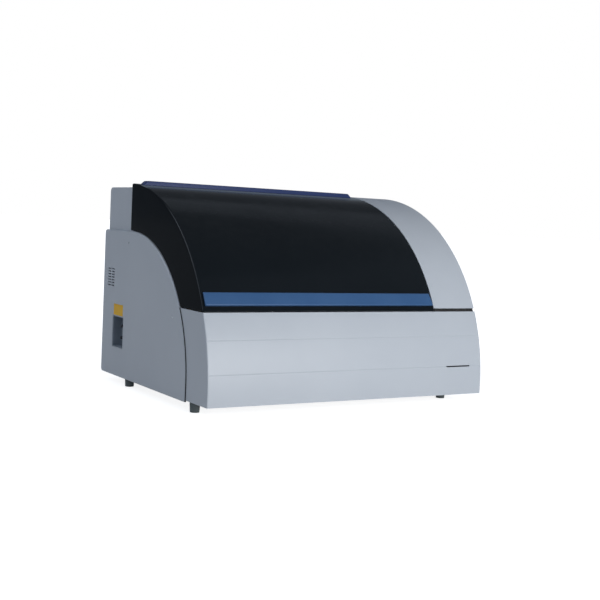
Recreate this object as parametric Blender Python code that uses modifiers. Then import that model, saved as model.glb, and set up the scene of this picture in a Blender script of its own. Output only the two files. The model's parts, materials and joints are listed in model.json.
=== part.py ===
"""Benchtop chemistry analyzer: a bench instrument with a swept, smoked lid over its carousels and probe arms.

Units are metres. +X is to the right, +Y to the back, +Z up, and the front faces -Y.
The origin is on the bench, under the middle of the instrument.
"""

import math

import bmesh
import bpy
from mathutils import Matrix, Vector

# Overall size
WIDTH = 0.860
DEPTH = 0.680
FOOT_HEIGHT = 0.022
CLEARANCE = 0.0003
OVERRUN = 0.010
MERGE_WITHIN = 0.0000001
TURN_MERGE_WITHIN = 0.00001

# Front sweep: a short upright nose, then one arc over the front cover, the lid and the right cover
SWEEP_RADIUS = 0.5114
NOSE_HEIGHT = 0.0257
COVER_LIFT = 0.005
COVER_INSET = 0.003
COVER_WALL = 0.003
FRONT_COVER_HEIGHT = 0.2255
SWEEP_STEPS = 22
CORNER_STEPS = 4

# Side panels, whose round front edge is the seam
PANEL_WALL = 0.006
PANEL_EDGE_ROUND = 0.004
PANEL_CORNER = 0.010
SEAM_RADIUS = 0.3678
SEAM_SETBACK = 0.1187
SEAM_BOTTOM = 0.0434
SEAM_GAP = 0.0025
SEAM_STEPS = 18

# Front cover details
GROOVE_HEIGHTS = (0.078, 0.160)
GROOVE_WIDTH = 0.0018
GROOVE_DEPTH = 0.0010
SLOT_LENGTH = 0.082
SLOT_HEIGHT = 0.0035
SLOT_FROM_RIGHT = 0.045
SHELF_DEPTH = 0.022

# Lid
LID_WALL = 0.004
LID_GAP = 0.0030
LID_RIGHT_END = 0.1500
LID_REAR_GAP = 0.0165
HANDLE_RISE = 0.0110
HANDLE_HEIGHT = 0.0310
HANDLE_STAND = 0.0080
HANDLE_END_INSET = 0.007
HANDLE_END_RIGHT = 0.003
HANDLE_SLANT = 0.005
STRIP_FROM_REAR = 0.030
STRIP_WIDTH = 0.030
STRIP_RISE = 0.0075
STRIP_LEFT_INSET = 0.007
STRIP_RIGHT_INSET = 0.020
STRIP_RAMP = 0.013
TRIM_ROUND = 0.002

# Right cover
RIGHT_COVER_GAP = 0.0015
RIGHT_COVER_SHADOW = 0.0090

# Rear housing and rear compartment
REAR_COMPARTMENT = 0.1635
HOUSING_INSET = 0.012
HOUSING_DROP = 0.010
HOUSING_CHEEK = 0.0130
HOUSING_ROUND = 0.012
HOUSING_WALL = 0.003
REAR_RECESS = 0.006

# Facet counts of small round pieces
PIN_STEPS = 12
BORE_STEPS = 16
SLEEVE_STEPS = 24

# Sheet metal frame
SHEET = 0.0015
FRAME_WALL = 0.0020
TRAY_LIP = 0.018
DECK_DROP = 0.0105
FRAME_EDGE = 0.007
FRAME_LEDGE_DROP = 0.0012

# Feet
FOOT_RADIUS = 0.0135
FOOT_TAPER = 0.0015
FOOT_SIDE_INSET = 0.0125
FOOT_RIGHT_INSET = 0.0545
FOOT_FRONT_INSET = 0.100
FOOT_REAR_INSET = 0.168
FOOT_STEPS = 20

# Left panel details, measured from the rear edge and the underside
VENT_ROWS = 7
VENT_PITCH = 0.0078
VENT_LENGTH = 0.0210
VENT_HEIGHT = 0.0035
VENT_COLUMNS = 2
VENT_COLUMN_GAP = 0.0055
VENT_FROM_REAR = 0.0336
VENT_BOTTOM = 0.2520
VENT_WINDOW_EDGE = 0.004
POCKET_FROM_REAR = 0.0816
POCKET_WIDTH = 0.072
POCKET_HEIGHT = 0.083
POCKET_BOTTOM = 0.084
POCKET_DEPTH = 0.028
POCKET_WALL = 0.002
POCKET_CUT_GAP = 0.0004
POCKET_SET_IN = 0.0020
MARKER_HEIGHT = 0.031
MARKER_WIDTH = 0.066
MARKER_GAP = 0.003
PORT_RADIUS = 0.0045
PORT_LENGTH = 0.018
PORT_FLANGE_RADIUS = 0.007
PORT_FLANGE = 0.002
PORT_BARBS = 3
PORT_BARB_RISE = 0.0008
PORT_HEIGHT_SHARES = (0.30, 0.70)
PORT_STEPS = 8

# Rear panel details
FAN_SIZE = 0.080
FAN_THICK = 0.025
FAN_WALL = 0.003
FAN_HEIGHT = 0.235
FAN_X = -0.220
FAN_TIP_GAP = 0.002
FAN_HUB_RADIUS = 0.014
FAN_BLADES = 7
FAN_BLADE_THICK = 0.0016
FAN_BLADE_DEPTH = 0.012
FAN_BLADE_PITCH_DEG = 38.0
FAN_AXLE_RADIUS = 0.002
FAN_AXLE_GAP = 0.0001
FAN_RING_COUNT = 2
FAN_RING_WIRE = 0.0020
FAN_STRUT = 0.004
FAN_STEPS = 20
BLADE_ROOT_SHARE = 0.8
INLET_X = 0.250
INLET_HEIGHT = 0.090
INLET_WIDTH = 0.028
INLET_TALL = 0.020
INLET_DEPTH = 0.022
INLET_FLANGE = 0.0025
INLET_FLANGE_EDGE = 0.008
INLET_SOCKET_WALL = 0.0025
INLET_BACK = 0.003
INLET_PIN_LENGTH = 0.014
INLET_PIN_SIDE = 0.002
INLET_PIN_TALL = 0.004
INLET_PIN_PITCH = 0.007
INLET_PIN_RISE = 0.003
SWITCH_WIDTH = 0.013
SWITCH_TALL = 0.019
SWITCH_GAP = 0.012
SWITCH_DEPTH = 0.014
SWITCH_WALL = 0.002
SWITCH_FLANGE = 0.0025
SWITCH_THROW_DEG = 12.0
ROCKER_GAP = 0.0006
ROCKER_END_GAP = 0.0014
ROCKER_PIN_RADIUS = 0.0015
ROCKER_PIN_GAP = 0.0001
ROCKER_DISH_SHARE = 0.5
ROCKER_ROOT_SHARE = 0.35

# Layout of the work deck
DISC_MARGIN = 0.012
ARM_AISLE = 0.080
RIGHT_AISLE = 0.050
CAROUSEL_SHARE = 0.59
DISC_FRONT_GAP = 0.012
WELL_WALL = 0.002
WELL_GAP = 0.004
WELL_LIP = 0.006
WELL_LIP_THICK = 0.002
DISC_STEPS = 36

# Sample and reagent carousel
BOWL_DEPTH = 0.060
DISC_THICK = 0.004
DISC_RIM_RISE = 0.002
TUBE_PITCH = 0.0395
TUBE_RADIUS = 0.0065
TUBE_RISE = 0.030
TUBE_DROP = 0.045
TUBE_RING_INSET = 0.013
TUBE_STEPS = 6
BOTTLE_PITCH = 0.0453
BOTTLE_START_SHARE = 0.5
BOTTLE_WIDTH = 0.021
BOTTLE_LENGTH = 0.048
BOTTLE_RISE = 0.016
BOTTLE_DROP = 0.038
BOTTLE_RING_GAP = 0.005
SHAFT_RADIUS = 0.008
SHAFT_GAP = 0.0003
KNOB_RADIUS = 0.020
KNOB_RISE = 0.026
BOSS_RADIUS = 0.018
BOSS_DEPTH = 0.008

# Reaction rotor and its bath
BATH_DEPTH = 0.030
BATH_CHANNEL = 0.024
CUVETTE_PITCH = 0.0204
CUVETTE_SIDE = 0.0075
CUVETTE_LENGTH = 0.0095
CUVETTE_RISE = 0.004
CUVETTE_DROP = 0.022
CUVETTE_INSET = 0.010
ROTOR_THICK = 0.005
ROTOR_LIFT = 0.006
ROTOR_KNOB_RISE = 0.014
PHOTOMETER_LENGTH = 0.070
PHOTOMETER_WIDTH = 0.050
PHOTOMETER_HEIGHT = 0.040
PHOTOMETER_CAP = 0.012

# Belt drives under the deck
DRIVE_GAP = 0.004
PULLEY_HEIGHT = 0.008
CAROUSEL_PULLEY_RADIUS = 0.050
ROTOR_PULLEY_RADIUS = 0.040
PINION_RADIUS = 0.010
BELT_THICK = 0.0012
MOTOR_SIDE = 0.042
MOTOR_EDGE = 0.004
MOTOR_LENGTH = 0.045
MOTOR_SHAFT_RADIUS = 0.0025
MOTOR_AHEAD = 0.115
MOTOR_BEHIND = 0.045
PULLEY_STEPS = 24

# Probe, stirrer and wash station
COLUMN_BEHIND_DISCS = 0.13522972
COLUMN_RADIUS = 0.009
GUIDE_RADIUS = 0.014
GUIDE_RISE = 0.012
GUIDE_FLANGE = 0.002
GUIDE_FLANGE_RADIUS = 0.019
COLUMN_RISE = 0.110
COLUMN_DROP = 0.050
GUIDE_DROP = 0.020
ARM_LENGTH = 0.150
STIRRER_ARM_LENGTH = 0.110
ARM_WIDTH = 0.022
ARM_HEIGHT = 0.022
ARM_TIP_WIDTH = 0.014
ARM_PIVOT_GAP = 0.0003
PIN_RADIUS = 0.005
NEEDLE_RADIUS = 0.0009
NEEDLE_CLEARANCE = 0.005
NEEDLE_STEPS = 8
PADDLE_SHAFT_RADIUS = 0.0015
PADDLE_WIDTH = 0.005
PADDLE_HEIGHT = 0.010
PADDLE_THICK = 0.0012
PADDLE_GAP = 0.0001
CUP_RADIUS = 0.0105
CUP_WALL = 0.002
CUP_RISE = 0.006
CUP_DEPTH = 0.024
CUP_STEPS = 20
WASH_BACKSET = 0.058
WASH_POST_RADIUS = 0.009
WASH_HEAD_WIDTH = 0.040
WASH_HEAD_HEIGHT = 0.016
WASH_NOZZLES = 5
WASH_NOZZLE_RADIUS = 0.0012
WASH_NOZZLE_CLEARANCE = 0.006
WASH_NOZZLE_LENGTH = 0.022
LIFT_TRAVEL = 0.030

# Pump, power supply and control board
PUMP_WIDTH = 0.040
PUMP_DEPTH = 0.050
PUMP_HEIGHT = 0.110
PUMP_BORE_FLOOR = 0.020
PLUNGER_RADIUS = 0.0078
PLUNGER_KNOB = 0.012
PLUNGER_KNOB_RADIUS = 0.011
PLUNGER_GAP = 0.0001
PUMP_FROM_RIGHT = 0.060
PUMP_FROM_FRONT = 0.130
SUPPLY_WIDTH = 0.180
SUPPLY_DEPTH = 0.100
SUPPLY_HEIGHT = 0.065
SUPPLY_GAP = 0.010
SUPPLY_X = 0.020
BOARD_WIDTH = 0.260
BOARD_HEIGHT = 0.160
BOARD_THICK = 0.0016
BOARD_X = 0.060
BOARD_BOTTOM = 0.180
STANDOFF_RADIUS = 0.004
STANDOFF_LENGTH = 0.008
STANDOFF_EDGE = 0.010
STANDOFF_STEPS = 8
CHIP_SHARES = ((0.22, 0.30, 0.16), (0.48, 0.66, 0.20), (0.76, 0.34, 0.14))
CHIP_HEIGHT = 0.010

# Hinges
HINGE_BARREL_RADIUS = 0.0055
HINGE_PIN_RADIUS = 0.0030
HINGE_PIN_GAP = 0.0001
HINGE_DROP = 0.0086
HINGE_PLATE = 0.003
HINGE_PLATE_HEIGHT = 0.045
HINGE_BACK_GAP = 0.0012
HINGE_TOP_GAP = 0.002
HINGE_WIDTH = 0.060
HINGE_KNUCKLE = 0.030
HINGE_SIDE_GAP = 0.0004
HINGE_SHARES = (0.18, 0.82)
HINGE_LEAF = 0.003
HINGE_LEAF_LENGTH = 0.034
HINGE_LEAF_END = 0.004
HINGE_STEPS = 20

# Lines and places worked out from the sizes above
HALF_WIDTH = WIDTH / 2
FRONT = -DEPTH / 2
REAR = DEPTH / 2
UNDERSIDE = FOOT_HEIGHT
COVER_BOTTOM = UNDERSIDE + COVER_LIFT
SWEEP_Y = FRONT + SWEEP_RADIUS
SWEEP_Z = COVER_BOTTOM + NOSE_HEIGHT
COVER_SIDE = HALF_WIDTH - COVER_INSET
COVER_TOP = COVER_BOTTOM + FRONT_COVER_HEIGHT
SEAM_Y = FRONT + SEAM_SETBACK + SEAM_RADIUS
SEAM_Z = UNDERSIDE + SEAM_BOTTOM
PANEL_TOP = SEAM_Z + SEAM_RADIUS
PANEL_INNER = HALF_WIDTH - PANEL_WALL
FRAME_OUTER = PANEL_INNER - CLEARANCE
FRAME_INNER = FRAME_OUTER - FRAME_WALL
BULKHEAD_FRONT = REAR - REAR_COMPARTMENT
BULKHEAD_REAR = BULKHEAD_FRONT + SHEET
LID_REAR = BULKHEAD_FRONT - LID_REAR_GAP
LID_BOTTOM = COVER_TOP + LID_GAP
LID_RIGHT = HALF_WIDTH - LID_RIGHT_END
DIVIDER_LEFT = LID_RIGHT + 2 * RIGHT_COVER_GAP
RIGHT_COVER_LEFT = LID_RIGHT + RIGHT_COVER_GAP
TRAY_BOTTOM = COVER_BOTTOM
TRAY_TOP = TRAY_BOTTOM + SHEET
DECK_TOP = COVER_TOP - DECK_DROP
DECK_BOTTOM = DECK_TOP - SHEET
REAR_PANEL_OUTER = REAR - REAR_RECESS
REAR_PANEL_INNER = REAR_PANEL_OUTER - SHEET


def sweep_point(angle, inset):
    """A point of the front sweep; the angle is counted from straight ahead up to straight up."""
    radius = SWEEP_RADIUS - inset
    return (SWEEP_Y - radius * math.cos(angle), SWEEP_Z + radius * math.sin(angle))


def sweep_angle_at_height(height, inset=0.0):
    return math.asin((height - SWEEP_Z) / (SWEEP_RADIUS - inset))


def sweep_angle_at_depth(depth, inset=0.0):
    return math.acos(max((SWEEP_Y - depth) / (SWEEP_RADIUS - inset), 0.0))


def sweep_height(depth, inset=0.0):
    """Height of the sweep, moved in by the inset, above a place on the depth axis."""
    return sweep_point(sweep_angle_at_depth(depth, inset), inset)[1]


def sweep_path(low, depth, inset, steps=SWEEP_STEPS):
    """Points along the sweep from a height to a depth, with a flat run past its crown if it goes that far."""
    first = sweep_angle_at_height(low, inset)
    last = sweep_angle_at_depth(depth, inset)
    path = [sweep_point(first + (last - first) * i / steps, inset) for i in range(steps + 1)]
    if depth > path[-1][0] + CLEARANCE:
        path.append((depth, path[-1][1]))
    return path


def arc(centre, radius, start_deg, end_deg, steps):
    """Points of a round stretch, with angles in the ordinary sense of the outline's own two axes."""
    points = []
    for i in range(steps + 1):
        angle = math.radians(start_deg + (end_deg - start_deg) * i / steps)
        points.append((centre[0] + radius * math.cos(angle), centre[1] + radius * math.sin(angle)))
    return points


def seam_path(radius, low, steps=SEAM_STEPS):
    """The seam from a height up to its top, going up and back."""
    first = math.asin(max((low - SEAM_Z) / radius, 0.0))
    last = math.pi / 2
    angles = [first + (last - first) * i / steps for i in range(steps + 1)]
    return [(SEAM_Y - radius * math.cos(a), SEAM_Z + radius * math.sin(a)) for a in angles]


LID_TOP = sweep_height(LID_REAR)
HINGE_Y = BULKHEAD_FRONT - CLEARANCE - HINGE_PLATE - HINGE_BACK_GAP - HINGE_BARREL_RADIUS
HINGE_Z = LID_TOP - HINGE_DROP
HOUSING_TOP = LID_TOP - HOUSING_DROP
HOUSING_SIDE = HALF_WIDTH - HOUSING_INSET
BULKHEAD_SIDE = HOUSING_SIDE - HOUSING_WALL - CLEARANCE

# Places on the deck
CHAMBER_LEFT = -FRAME_INNER
CHAMBER_RIGHT = LID_RIGHT - LID_WALL
TUBE_TOP = DECK_TOP + TUBE_RISE
TUBE_FRONT = SWEEP_Y - math.sqrt((SWEEP_RADIUS - LID_WALL) ** 2 - (TUBE_TOP - SWEEP_Z) ** 2)
DISC_ROOM_ACROSS = CHAMBER_RIGHT - CHAMBER_LEFT - DISC_MARGIN - ARM_AISLE - RIGHT_AISLE
DISC_ROOM_BACK = BULKHEAD_FRONT - TUBE_FRONT - DISC_FRONT_GAP - WASH_BACKSET - GUIDE_FLANGE_RADIUS
DISC_ROOM = min(DISC_ROOM_ACROSS, 2 * DISC_ROOM_BACK)
CAROUSEL_RADIUS = DISC_ROOM * CAROUSEL_SHARE / 2
ROTOR_RADIUS = DISC_ROOM / 2 - CAROUSEL_RADIUS
CAROUSEL_X = CHAMBER_LEFT + DISC_MARGIN + CAROUSEL_RADIUS
AISLE_X = CAROUSEL_X + CAROUSEL_RADIUS + ARM_AISLE / 2
ROTOR_X = AISLE_X + ARM_AISLE / 2 + ROTOR_RADIUS
STIRRER_X = ROTOR_X + ROTOR_RADIUS + RIGHT_AISLE / 2
CAROUSEL_Y = TUBE_FRONT + DISC_FRONT_GAP + CAROUSEL_RADIUS
ROTOR_Y = CAROUSEL_Y
COLUMN_Y = ROTOR_Y + COLUMN_BEHIND_DISCS
ARM_BOTTOM = DECK_TOP + COLUMN_RISE
DRIVE_TOP = DECK_BOTTOM - BOWL_DEPTH - BOSS_DEPTH - DRIVE_GAP
DRIVE_BOTTOM = DRIVE_TOP - PULLEY_HEIGHT

for old in list(bpy.data.objects):
    bpy.data.objects.remove(old, do_unlink=True)

PARTS = bpy.data.collections.new("benchtop_chemistry_analyzer")
CUTTERS = bpy.data.collections.new("cutters")
bpy.context.scene.collection.children.link(PARTS)
bpy.context.scene.collection.children.link(CUTTERS)


def material(name, color, roughness, metallic=0.0):
    made = bpy.data.materials.new(name)
    made.use_nodes = True
    shader = made.node_tree.nodes["Principled BSDF"]
    shader.inputs["Base Color"].default_value = (*color, 1.0)
    shader.inputs["Roughness"].default_value = roughness
    shader.inputs["Metallic"].default_value = metallic
    return made


LIGHT_GREY = material("light_grey_paint", (0.60, 0.64, 0.68), 0.40)
SMOKED = material("smoked_acrylic", (0.010, 0.012, 0.015), 0.08)
BLUE = material("blue_trim", (0.055, 0.13, 0.26), 0.35)
RUBBER = material("dark_rubber", (0.07, 0.09, 0.09), 0.70)
STEEL = material("zinc_plated_steel", (0.55, 0.56, 0.58), 0.35, 1.0)
DARK = material("dark_plastic", (0.05, 0.06, 0.08), 0.50)
YELLOW = material("yellow_marker", (0.60, 0.34, 0.05), 0.50)
WHITE = material("white_plastic", (0.75, 0.76, 0.76), 0.40)
BLACK_METAL = material("black_metal", (0.02, 0.02, 0.022), 0.40, 0.6)
BRIGHT = material("polished_steel", (0.62, 0.63, 0.65), 0.18, 1.0)
BOARD = material("circuit_board", (0.02, 0.16, 0.07), 0.45)
BELT = material("belt_rubber", (0.015, 0.015, 0.015), 0.75)

PLANES = {
    "X": Matrix.Rotation(math.pi / 2, 4, "Z") @ Matrix.Rotation(math.pi / 2, 4, "X"),
    "Y": Matrix.Rotation(math.pi / 2, 4, "X"),
    "Z": Matrix.Identity(4),
}


def add_object(name, mesh, finish, collection=None):
    made = bpy.data.objects.new(name, mesh)
    (collection or PARTS).objects.link(made)
    if finish:
        mesh.materials.clear()
        mesh.materials.append(finish)
    return made


def as_helper(made):
    """Marks an object as a cutter, or as a shape that another one takes in."""
    made.hide_render = True
    made.display_type = "WIRE"
    return made


def smooth(mesh, angle_deg=30.0):
    mesh.shade_smooth()
    mesh.set_sharp_from_angle(angle=math.radians(angle_deg))


def flat_shape(name, outlines, plane, low, high, finish, collection=None):
    """An outline with any holes, extruded along the plane's own axis from low to high.

    In plane X the outline's axes are Y and Z, in plane Y they are X and Z, in plane Z they are X and Y.
    """
    curve = bpy.data.curves.new(name + "_outline", "CURVE")
    curve.dimensions = "2D"
    curve.fill_mode = "BOTH"
    curve.extrude = (high - low) / 2
    for outline in outlines:
        spline = curve.splines.new("POLY")
        spline.points.add(len(outline) - 1)
        for point, (u, v) in zip(spline.points, outline):
            point.co = (u, v, 0.0, 1.0)
        spline.use_cyclic_u = True
    drawn = bpy.data.objects.new(name + "_drawn", curve)
    CUTTERS.objects.link(drawn)
    bpy.context.view_layer.update()
    mesh = bpy.data.meshes.new_from_object(drawn.evaluated_get(bpy.context.evaluated_depsgraph_get()))
    bpy.data.objects.remove(drawn, do_unlink=True)
    bpy.data.curves.remove(curve)
    middle = (high + low) / 2
    if plane == "Y":
        middle = -middle
    work = bmesh.new()
    work.from_mesh(mesh)
    bmesh.ops.remove_doubles(work, verts=work.verts, dist=MERGE_WITHIN)
    bmesh.ops.transform(work, matrix=PLANES[plane] @ Matrix.Translation((0, 0, middle)), verts=work.verts)
    bmesh.ops.recalc_face_normals(work, faces=work.faces)
    work.to_mesh(mesh)
    work.free()
    smooth(mesh)
    return add_object(name, mesh, finish, collection)


def box(name, low, high, finish, collection=None):
    mesh = bpy.data.meshes.new(name)
    work = bmesh.new()
    bmesh.ops.create_cube(work, size=1.0)
    size = Vector(high) - Vector(low)
    bmesh.ops.scale(work, vec=size, verts=work.verts)
    bmesh.ops.translate(work, vec=(Vector(high) + Vector(low)) / 2, verts=work.verts)
    work.to_mesh(mesh)
    work.free()
    return add_object(name, mesh, finish, collection)


def cylinder(
    name, centre, radius, low, high, finish, axis="Z", steps=BORE_STEPS, collection=None, top_radius=None
):
    """A round bar; centre gives its place on the two axes across it, in X, Y, Z order."""
    mesh = bpy.data.meshes.new(name)
    work = bmesh.new()
    end_radius = radius if top_radius is None else top_radius
    bmesh.ops.create_cone(
        work, cap_ends=True, segments=steps, radius1=radius, radius2=end_radius, depth=high - low
    )
    bmesh.ops.translate(work, vec=(0, 0, (high + low) / 2), verts=work.verts)
    if axis == "X":
        turn = Matrix.Translation((0, centre[0], centre[1])) @ Matrix.Rotation(math.pi / 2, 4, "Y")
    elif axis == "Y":
        turn = Matrix.Translation((centre[0], 0, centre[1])) @ Matrix.Rotation(-math.pi / 2, 4, "X")
    else:
        turn = Matrix.Translation((centre[0], centre[1], 0))
    bmesh.ops.transform(work, matrix=turn, verts=work.verts)
    work.to_mesh(mesh)
    work.free()
    smooth(mesh)
    return add_object(name, mesh, finish, collection)


def turned(name, profile, centre, finish, steps=DISC_STEPS, collection=None):
    """A turned shape on a vertical axis; the closed profile of (radius, height) runs down its outer side."""
    mesh = bpy.data.meshes.new(name)
    work = bmesh.new()
    corners = [work.verts.new((radius, 0.0, height)) for radius, height in profile]
    for first, second in zip(corners, corners[1:] + corners[:1]):
        if not (first.co.x < CLEARANCE / 2 and second.co.x < CLEARANCE / 2):
            work.edges.new((first, second))
    work.to_mesh(mesh)
    work.free()
    made = add_object(name, mesh, finish, collection)
    made.location = (centre[0], centre[1], 0.0)
    screw = made.modifiers.new("turn", "SCREW")
    screw.steps = steps
    screw.render_steps = steps
    screw.use_merge_vertices = True
    screw.merge_threshold = TURN_MERGE_WITHIN
    screw.use_smooth_shade = True
    return made


def combine(target, other, operation):
    as_helper(other)
    if other.name not in CUTTERS.objects:
        PARTS.objects.unlink(other)
        CUTTERS.objects.link(other)
    change = target.modifiers.new(operation.lower() + "_" + other.name, "BOOLEAN")
    change.operation = operation
    change.object = other
    change.solver = "EXACT"
    return target


def cut(target, *cutters):
    for cutter in cutters:
        combine(target, cutter, "DIFFERENCE")
    return target


def join(target, *others):
    for other in others:
        combine(target, other, "UNION")
    return target


def cluster(name, pieces):
    """Gathers loose shapes that don't touch each other in one helper, for a single cut or union."""
    work = bmesh.new()
    for piece in pieces:
        work.from_mesh(piece.data)
        bpy.data.objects.remove(piece, do_unlink=True)
    mesh = bpy.data.meshes.new(name)
    work.to_mesh(mesh)
    work.free()
    return add_object(name, mesh, None, CUTTERS)


def rounded(made, width, segments=2, angle_deg=40.0):
    bevel = made.modifiers.new("round_edges", "BEVEL")
    bevel.width = width
    bevel.segments = segments
    bevel.limit_method = "ANGLE"
    bevel.angle_limit = math.radians(angle_deg)
    return made


def joint_axis(name, place, pieces):
    """An empty on a joint's axis that carries the pieces which move with it."""
    empty = bpy.data.objects.new(name, None)
    PARTS.objects.link(empty)
    empty.location = place
    empty.empty_display_size = ARM_WIDTH
    for piece in pieces:
        piece.parent = empty
        piece.matrix_parent_inverse = Matrix.Translation(Vector(place)).inverted()
    return empty


SHELF_BACK = sweep_point(sweep_angle_at_height(COVER_TOP), 0.0)[0] + SHELF_DEPTH


def cover_section(top, inset, low):
    """Section of the front cover: nose, sweep up to the top, flat back to the seam, and down along it."""
    front = [(FRONT + inset, low)]
    end_depth = sweep_point(sweep_angle_at_height(top, inset), inset)[0]
    rise = sweep_path(max(low, SWEEP_Z), end_depth, inset)
    seam = [p for p in seam_path(SEAM_RADIUS + SEAM_GAP, SEAM_Z) if p[1] < top]
    across = math.sqrt((SEAM_RADIUS + SEAM_GAP) ** 2 - (top - SEAM_Z) ** 2)
    return front + rise + [(SEAM_Y - across, top)] + seam[::-1] + [(seam[0][0], low)]


def grooved_cover_section():
    """The same section with its two shallow grooves cut into the sweep."""
    section = cover_section(COVER_TOP, 0.0, COVER_BOTTOM)
    for height in GROOVE_HEIGHTS:
        level = COVER_BOTTOM + height
        groove = []
        half = GROOVE_WIDTH / 2
        for rise, inset in ((-half, 0.0), (-half, GROOVE_DEPTH), (half, GROOVE_DEPTH), (half, 0.0)):
            at = sweep_angle_at_height(level + rise, inset)
            groove.append(sweep_point(at, inset))
        seam_front = SEAM_Y - SEAM_RADIUS - SEAM_GAP - OVERRUN
        below = [p for p in section if p[0] < seam_front and p[1] < groove[0][1]]
        rest = section[len(below):]
        while rest and rest[0][1] < groove[-1][1] and rest[0][0] < groove[-1][0]:
            rest = rest[1:]
        section = below + groove + rest
    return section


def make_front_cover():
    cover = flat_shape("front_cover", [grooved_cover_section()], "X", -COVER_SIDE, COVER_SIDE, LIGHT_GREY)
    inner_side = COVER_SIDE - COVER_WALL
    under_shelf = COVER_TOP - COVER_WALL
    shelf_front = sweep_point(sweep_angle_at_height(under_shelf, COVER_WALL), COVER_WALL)[0]
    front_line = sweep_path(SWEEP_Z, shelf_front, COVER_WALL)
    hollow = [(FRONT + COVER_WALL, COVER_BOTTOM - OVERRUN)] + front_line
    hollow += [(SHELF_BACK, under_shelf), (SHELF_BACK, COVER_TOP + OVERRUN)]
    hollow += [(SEAM_Y, COVER_TOP + OVERRUN), (SEAM_Y, COVER_BOTTOM - OVERRUN)]
    inside = flat_shape("front_cover_inside", [hollow], "X", -inner_side, inner_side, None)
    slot_z = COVER_BOTTOM + GROOVE_HEIGHTS[0]
    slot_right = HALF_WIDTH - SLOT_FROM_RIGHT
    slot = box(
        "front_slot",
        (slot_right - SLOT_LENGTH, FRONT - OVERRUN, slot_z - SLOT_HEIGHT / 2),
        (slot_right, FRONT + OVERRUN + COVER_WALL, slot_z + SLOT_HEIGHT / 2),
        None,
    )
    return cut(cover, inside, slot)


def panel_section(grow):
    """Outline of a side panel; a positive grow makes it larger, a negative one smaller."""
    radius = SEAM_RADIUS + grow
    corner = PANEL_CORNER + grow
    back = REAR - PANEL_CORNER
    foot = UNDERSIDE - grow
    outline = [(SEAM_Y - radius, foot)] + seam_path(radius, SEAM_Z)
    outline += arc((back, PANEL_TOP - PANEL_CORNER), corner, 90, 0, CORNER_STEPS)
    outline += arc((back, UNDERSIDE + PANEL_CORNER), corner, 0, -90, CORNER_STEPS)
    return outline


def window(low, high, edge=0.0):
    """A rectangle between two corners, grown by an edge all round."""
    return [
        (low[0] - edge, low[1] - edge),
        (high[0] + edge, low[1] - edge),
        (high[0] + edge, high[1] + edge),
        (low[0] - edge, high[1] + edge),
    ]


def vent_outlines():
    outlines = []
    for column in range(VENT_COLUMNS):
        back = REAR - VENT_FROM_REAR - column * (VENT_LENGTH + VENT_COLUMN_GAP)
        for row in range(VENT_ROWS):
            low = VENT_BOTTOM + UNDERSIDE + row * VENT_PITCH
            outlines.append(window((back - VENT_LENGTH, low), (back, low + VENT_HEIGHT)))
    return outlines


def vent_window(edge):
    span = VENT_COLUMNS * VENT_LENGTH + (VENT_COLUMNS - 1) * VENT_COLUMN_GAP
    back = REAR - VENT_FROM_REAR
    low = VENT_BOTTOM + UNDERSIDE
    high = low + (VENT_ROWS - 1) * VENT_PITCH + VENT_HEIGHT
    return window((back - span, low), (back, high), edge)


POCKET_LOW = (REAR - POCKET_FROM_REAR - POCKET_WIDTH, UNDERSIDE + POCKET_BOTTOM)
POCKET_HIGH = (REAR - POCKET_FROM_REAR, UNDERSIDE + POCKET_BOTTOM + POCKET_HEIGHT)


def make_side_panel(name, side):
    low, high = sorted((side * PANEL_INNER, side * HALF_WIDTH))
    holes = vent_outlines()
    if side < 0:
        holes.append(window(POCKET_LOW, POCKET_HIGH, POCKET_WALL + POCKET_CUT_GAP))
        holes.append(marker_window(CLEARANCE))
    outline = panel_section(0.0)
    panel = flat_shape(name, [outline] + holes, "X", low, high, LIGHT_GREY)
    round_rim(panel, 0, side * HALF_WIDTH, outline, PANEL_EDGE_ROUND)
    return panel


def round_rim(made, axis, place, outline, width):
    """Rounds the edges where the outer outline meets one face, and leaves the holes sharp."""
    mesh = made.data
    across = [i for i in range(3) if i != axis]
    rim = {(round(u, 5), round(v, 5)) for u, v in outline}
    work = bmesh.new()
    work.from_mesh(mesh)
    layer = work.edges.layers.float.new("bevel_weight_edge")
    for edge in work.edges:
        on_rim = all(
            abs(v.co[axis] - place) < CLEARANCE / 2
            and (round(v.co[across[0]], 5), round(v.co[across[1]], 5)) in rim
            for v in edge.verts
        )
        if on_rim and len(edge.link_faces) == 2:
            turns = [abs(face.normal[axis]) > 0.5 for face in edge.link_faces]
            edge[layer] = float(turns[0] != turns[1])
    work.to_mesh(mesh)
    work.free()
    bevel = made.modifiers.new("round_rim", "BEVEL")
    bevel.width = width
    bevel.segments = 3
    bevel.limit_method = "WEIGHT"


def make_frame(name, side):
    """A plate inside the side panel, with a ledge that closes the gap beside the rear housing."""
    low, high = sorted((side * FRAME_INNER, side * FRAME_OUTER))
    radius = SEAM_RADIUS - FRAME_EDGE
    back = REAR_PANEL_INNER - CLEARANCE
    outline = [(SEAM_Y - radius, TRAY_BOTTOM)] + seam_path(radius, SEAM_Z)
    outline += [(back, PANEL_TOP - FRAME_EDGE), (back, TRAY_BOTTOM)]
    holes = [vent_window(VENT_WINDOW_EDGE)]
    if side < 0:
        holes.append(window(POCKET_LOW, POCKET_HIGH, POCKET_WALL + POCKET_CUT_GAP))
    frame = flat_shape(name, [outline] + holes, "X", low, high, STEEL)
    ledge_in, ledge_out = sorted((side * (HOUSING_SIDE + CLEARANCE), side * FRAME_OUTER))
    ledge_low = (ledge_in, BULKHEAD_FRONT - HOUSING_CHEEK, PANEL_TOP - 2 * FRAME_EDGE)
    ledge_high = (ledge_out, back, PANEL_TOP - FRAME_LEDGE_DROP)
    return join(frame, box(name + "_ledge", ledge_low, ledge_high, None))


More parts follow.
